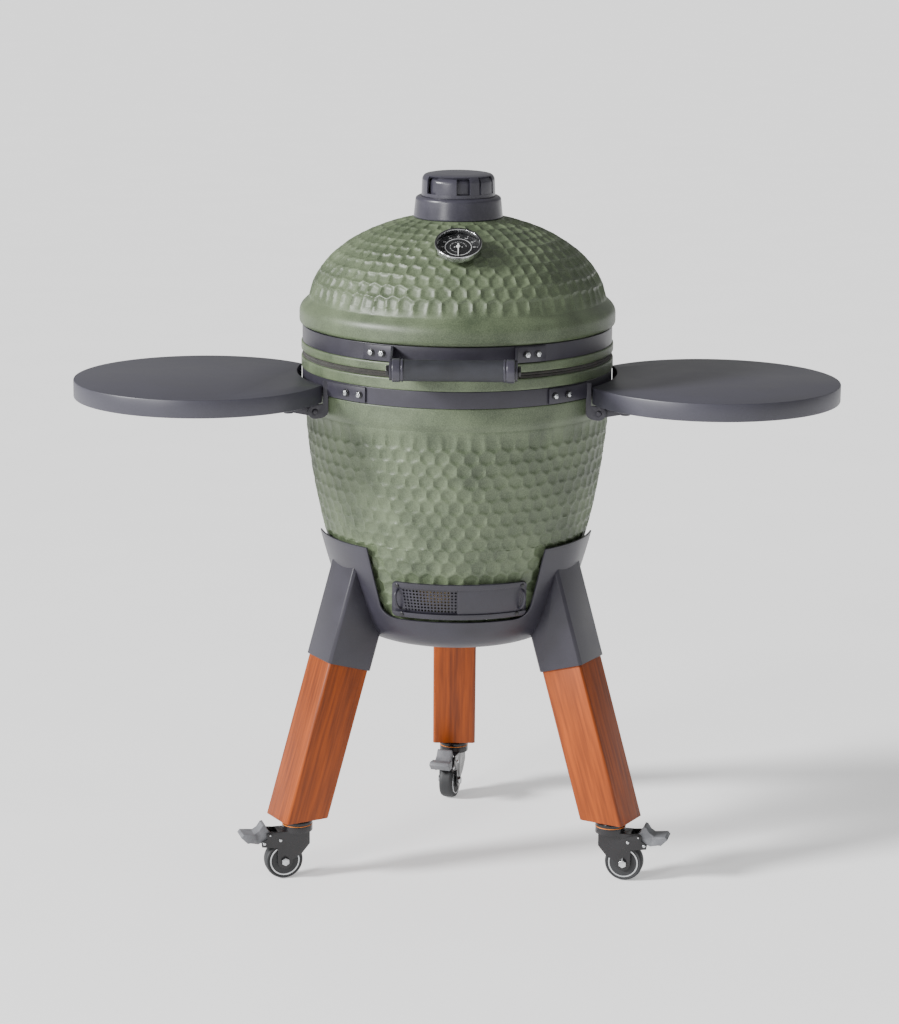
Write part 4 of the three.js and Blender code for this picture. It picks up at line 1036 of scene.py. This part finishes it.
# ---------- shelves ----------
def shelf_board(side, place):
    """A round board with a hollow edge that follows the grill's lip."""
    meet_x = (SHELF_REACH ** 2 + SHELF_HOLLOW_R ** 2 - SHELF_R ** 2) / (2 * SHELF_REACH)
    meet_y = math.sqrt(SHELF_HOLLOW_R ** 2 - meet_x ** 2)
    start = math.atan2(meet_y, meet_x - SHELF_REACH)
    outline = []
    for k in range(181):
        turn = start - 2 * start * k / 180
        outline.append((SHELF_REACH + SHELF_R * math.cos(turn), SHELF_R * math.sin(turn)))
    hollow = math.atan2(meet_y, meet_x)
    for k in range(1, 40):
        turn = -hollow + 2 * hollow * k / 40
        outline.append((SHELF_HOLLOW_R * math.cos(turn), SHELF_HOLLOW_R * math.sin(turn)))
    make(f"shelf_top_{side}", prism(outline, SHELF_LOW, SHELF_TOP), BOARD, f"shelf_{side}",
         [f"shelf_board_{side}"], place, edge=2.2)


def shelf(side):
    place = ON_AXIS @ Matrix.Rotation(math.radians(SHELF_AZIMUTHS[side]), 4, "Z")
    shelf_board(side, place)
    refine(f"shelf_carrier_{side}", POWDER, 0.6)
    for end in ("front", "rear"):
        refine(f"shelf_bracket_{side}_{end}", POWDER, 0.7)
    from_front = {"left": -78.2, "right": 78.2}[side]
    z = sum(BASE_BAND) / 2
    spots = []
    for way in (-1, 1):
        spots += [(STRAP_R, from_front + way * degrees, z) for degrees in (35.2, 41.4)]
    bolts(f"shelf_bolts_{side}", spots, "root")


# ---------- the whole grill ----------
bowl()
dome_lid()
plain_ring("base_band_rolled", "base_band", 258.3, 262.0, 0.8, POWDER, "root")
plain_ring("lid_band_rolled", "lid_band", 258.3, 262.0, 0.8, POWDER, "lid")
plain_ring("base_gasket_felt", "base_gasket", 242, 262, 1.8, FELT, "root")
plain_ring("lid_gasket_felt", "lid_gasket", 242, 262, 1.8, FELT, "lid")
fire_parts()
refine("charcoal_grate", CASTING, 1.0)
cooking_grid()
vent_collar()
vent_cap()
thermometer()
handle()
hinge()
draft()
cradle()
legs()
for each in LEG_AZIMUTHS:
    caster(each)
for each in SHELF_AZIMUTHS:
    shelf(each)


# ---------- studio ----------
def studio_floor():
    mesh = bpy.data.meshes.new("studio_floor")
    half = 40.0
    corners = [(-half, -half, 0), (half, -half, 0), (half, half, 0), (-half, half, 0)]
    mesh.from_pydata(corners, [], [[0, 1, 2, 3]])
    obj = placed("studio_floor", mesh)
    lit = {"IOR": 1.3, "Emission Color": (1, 1, 1, 1), "Emission Strength": 0.38}
    mesh.materials.append(surface("studio_paper", "#f4f4f4", "#f8f8f8", 4, 300, (0.9, 1.0), 0.0, lit))


def soft_light(name, kind, at, aim, size, power):
    lamp = bpy.data.lights.new(name, kind)
    lamp.energy = power
    if kind == "SUN":
        lamp.angle = math.radians(size)
    else:
        lamp.size = size
    obj = placed(name, lamp)
    obj.location = at
    obj.rotation_euler = (Vector(aim) - Vector(at)).to_track_quat("-Z", "Y").to_euler()


def camera():
    lens = bpy.data.cameras.new("camera")
    lens.sensor_width = 36
    lens.lens = 105
    obj = placed("camera", lens)
    down, roll = math.radians(12.75), math.radians(0.4)
    turn = Matrix.Rotation(math.pi / 2 - down, 4, "X") @ Matrix.Rotation(roll, 4, "Z")
    obj.matrix_world = Matrix.Translation((-0.0112, AXIS_Y - 5.0, 1.735)) @ turn
    bpy.context.scene.camera = obj


studio_floor()
soft_light("key_light", "SUN", (-4.2, -1.5, 3.0), (0, 0, 0.7), 12, 6.0)
soft_light("side_light", "AREA", (-2.4, -3.0, 1.9), (0, 0, 0.8), 0.8, 62)
world = bpy.data.worlds.new("white_studio")
world.use_nodes = True
world.node_tree.nodes["Background"].inputs["Color"].default_value = (1, 1, 1, 1)
world.node_tree.nodes["Background"].inputs["Strength"].default_value = 0.42
bpy.context.scene.world = world
camera()
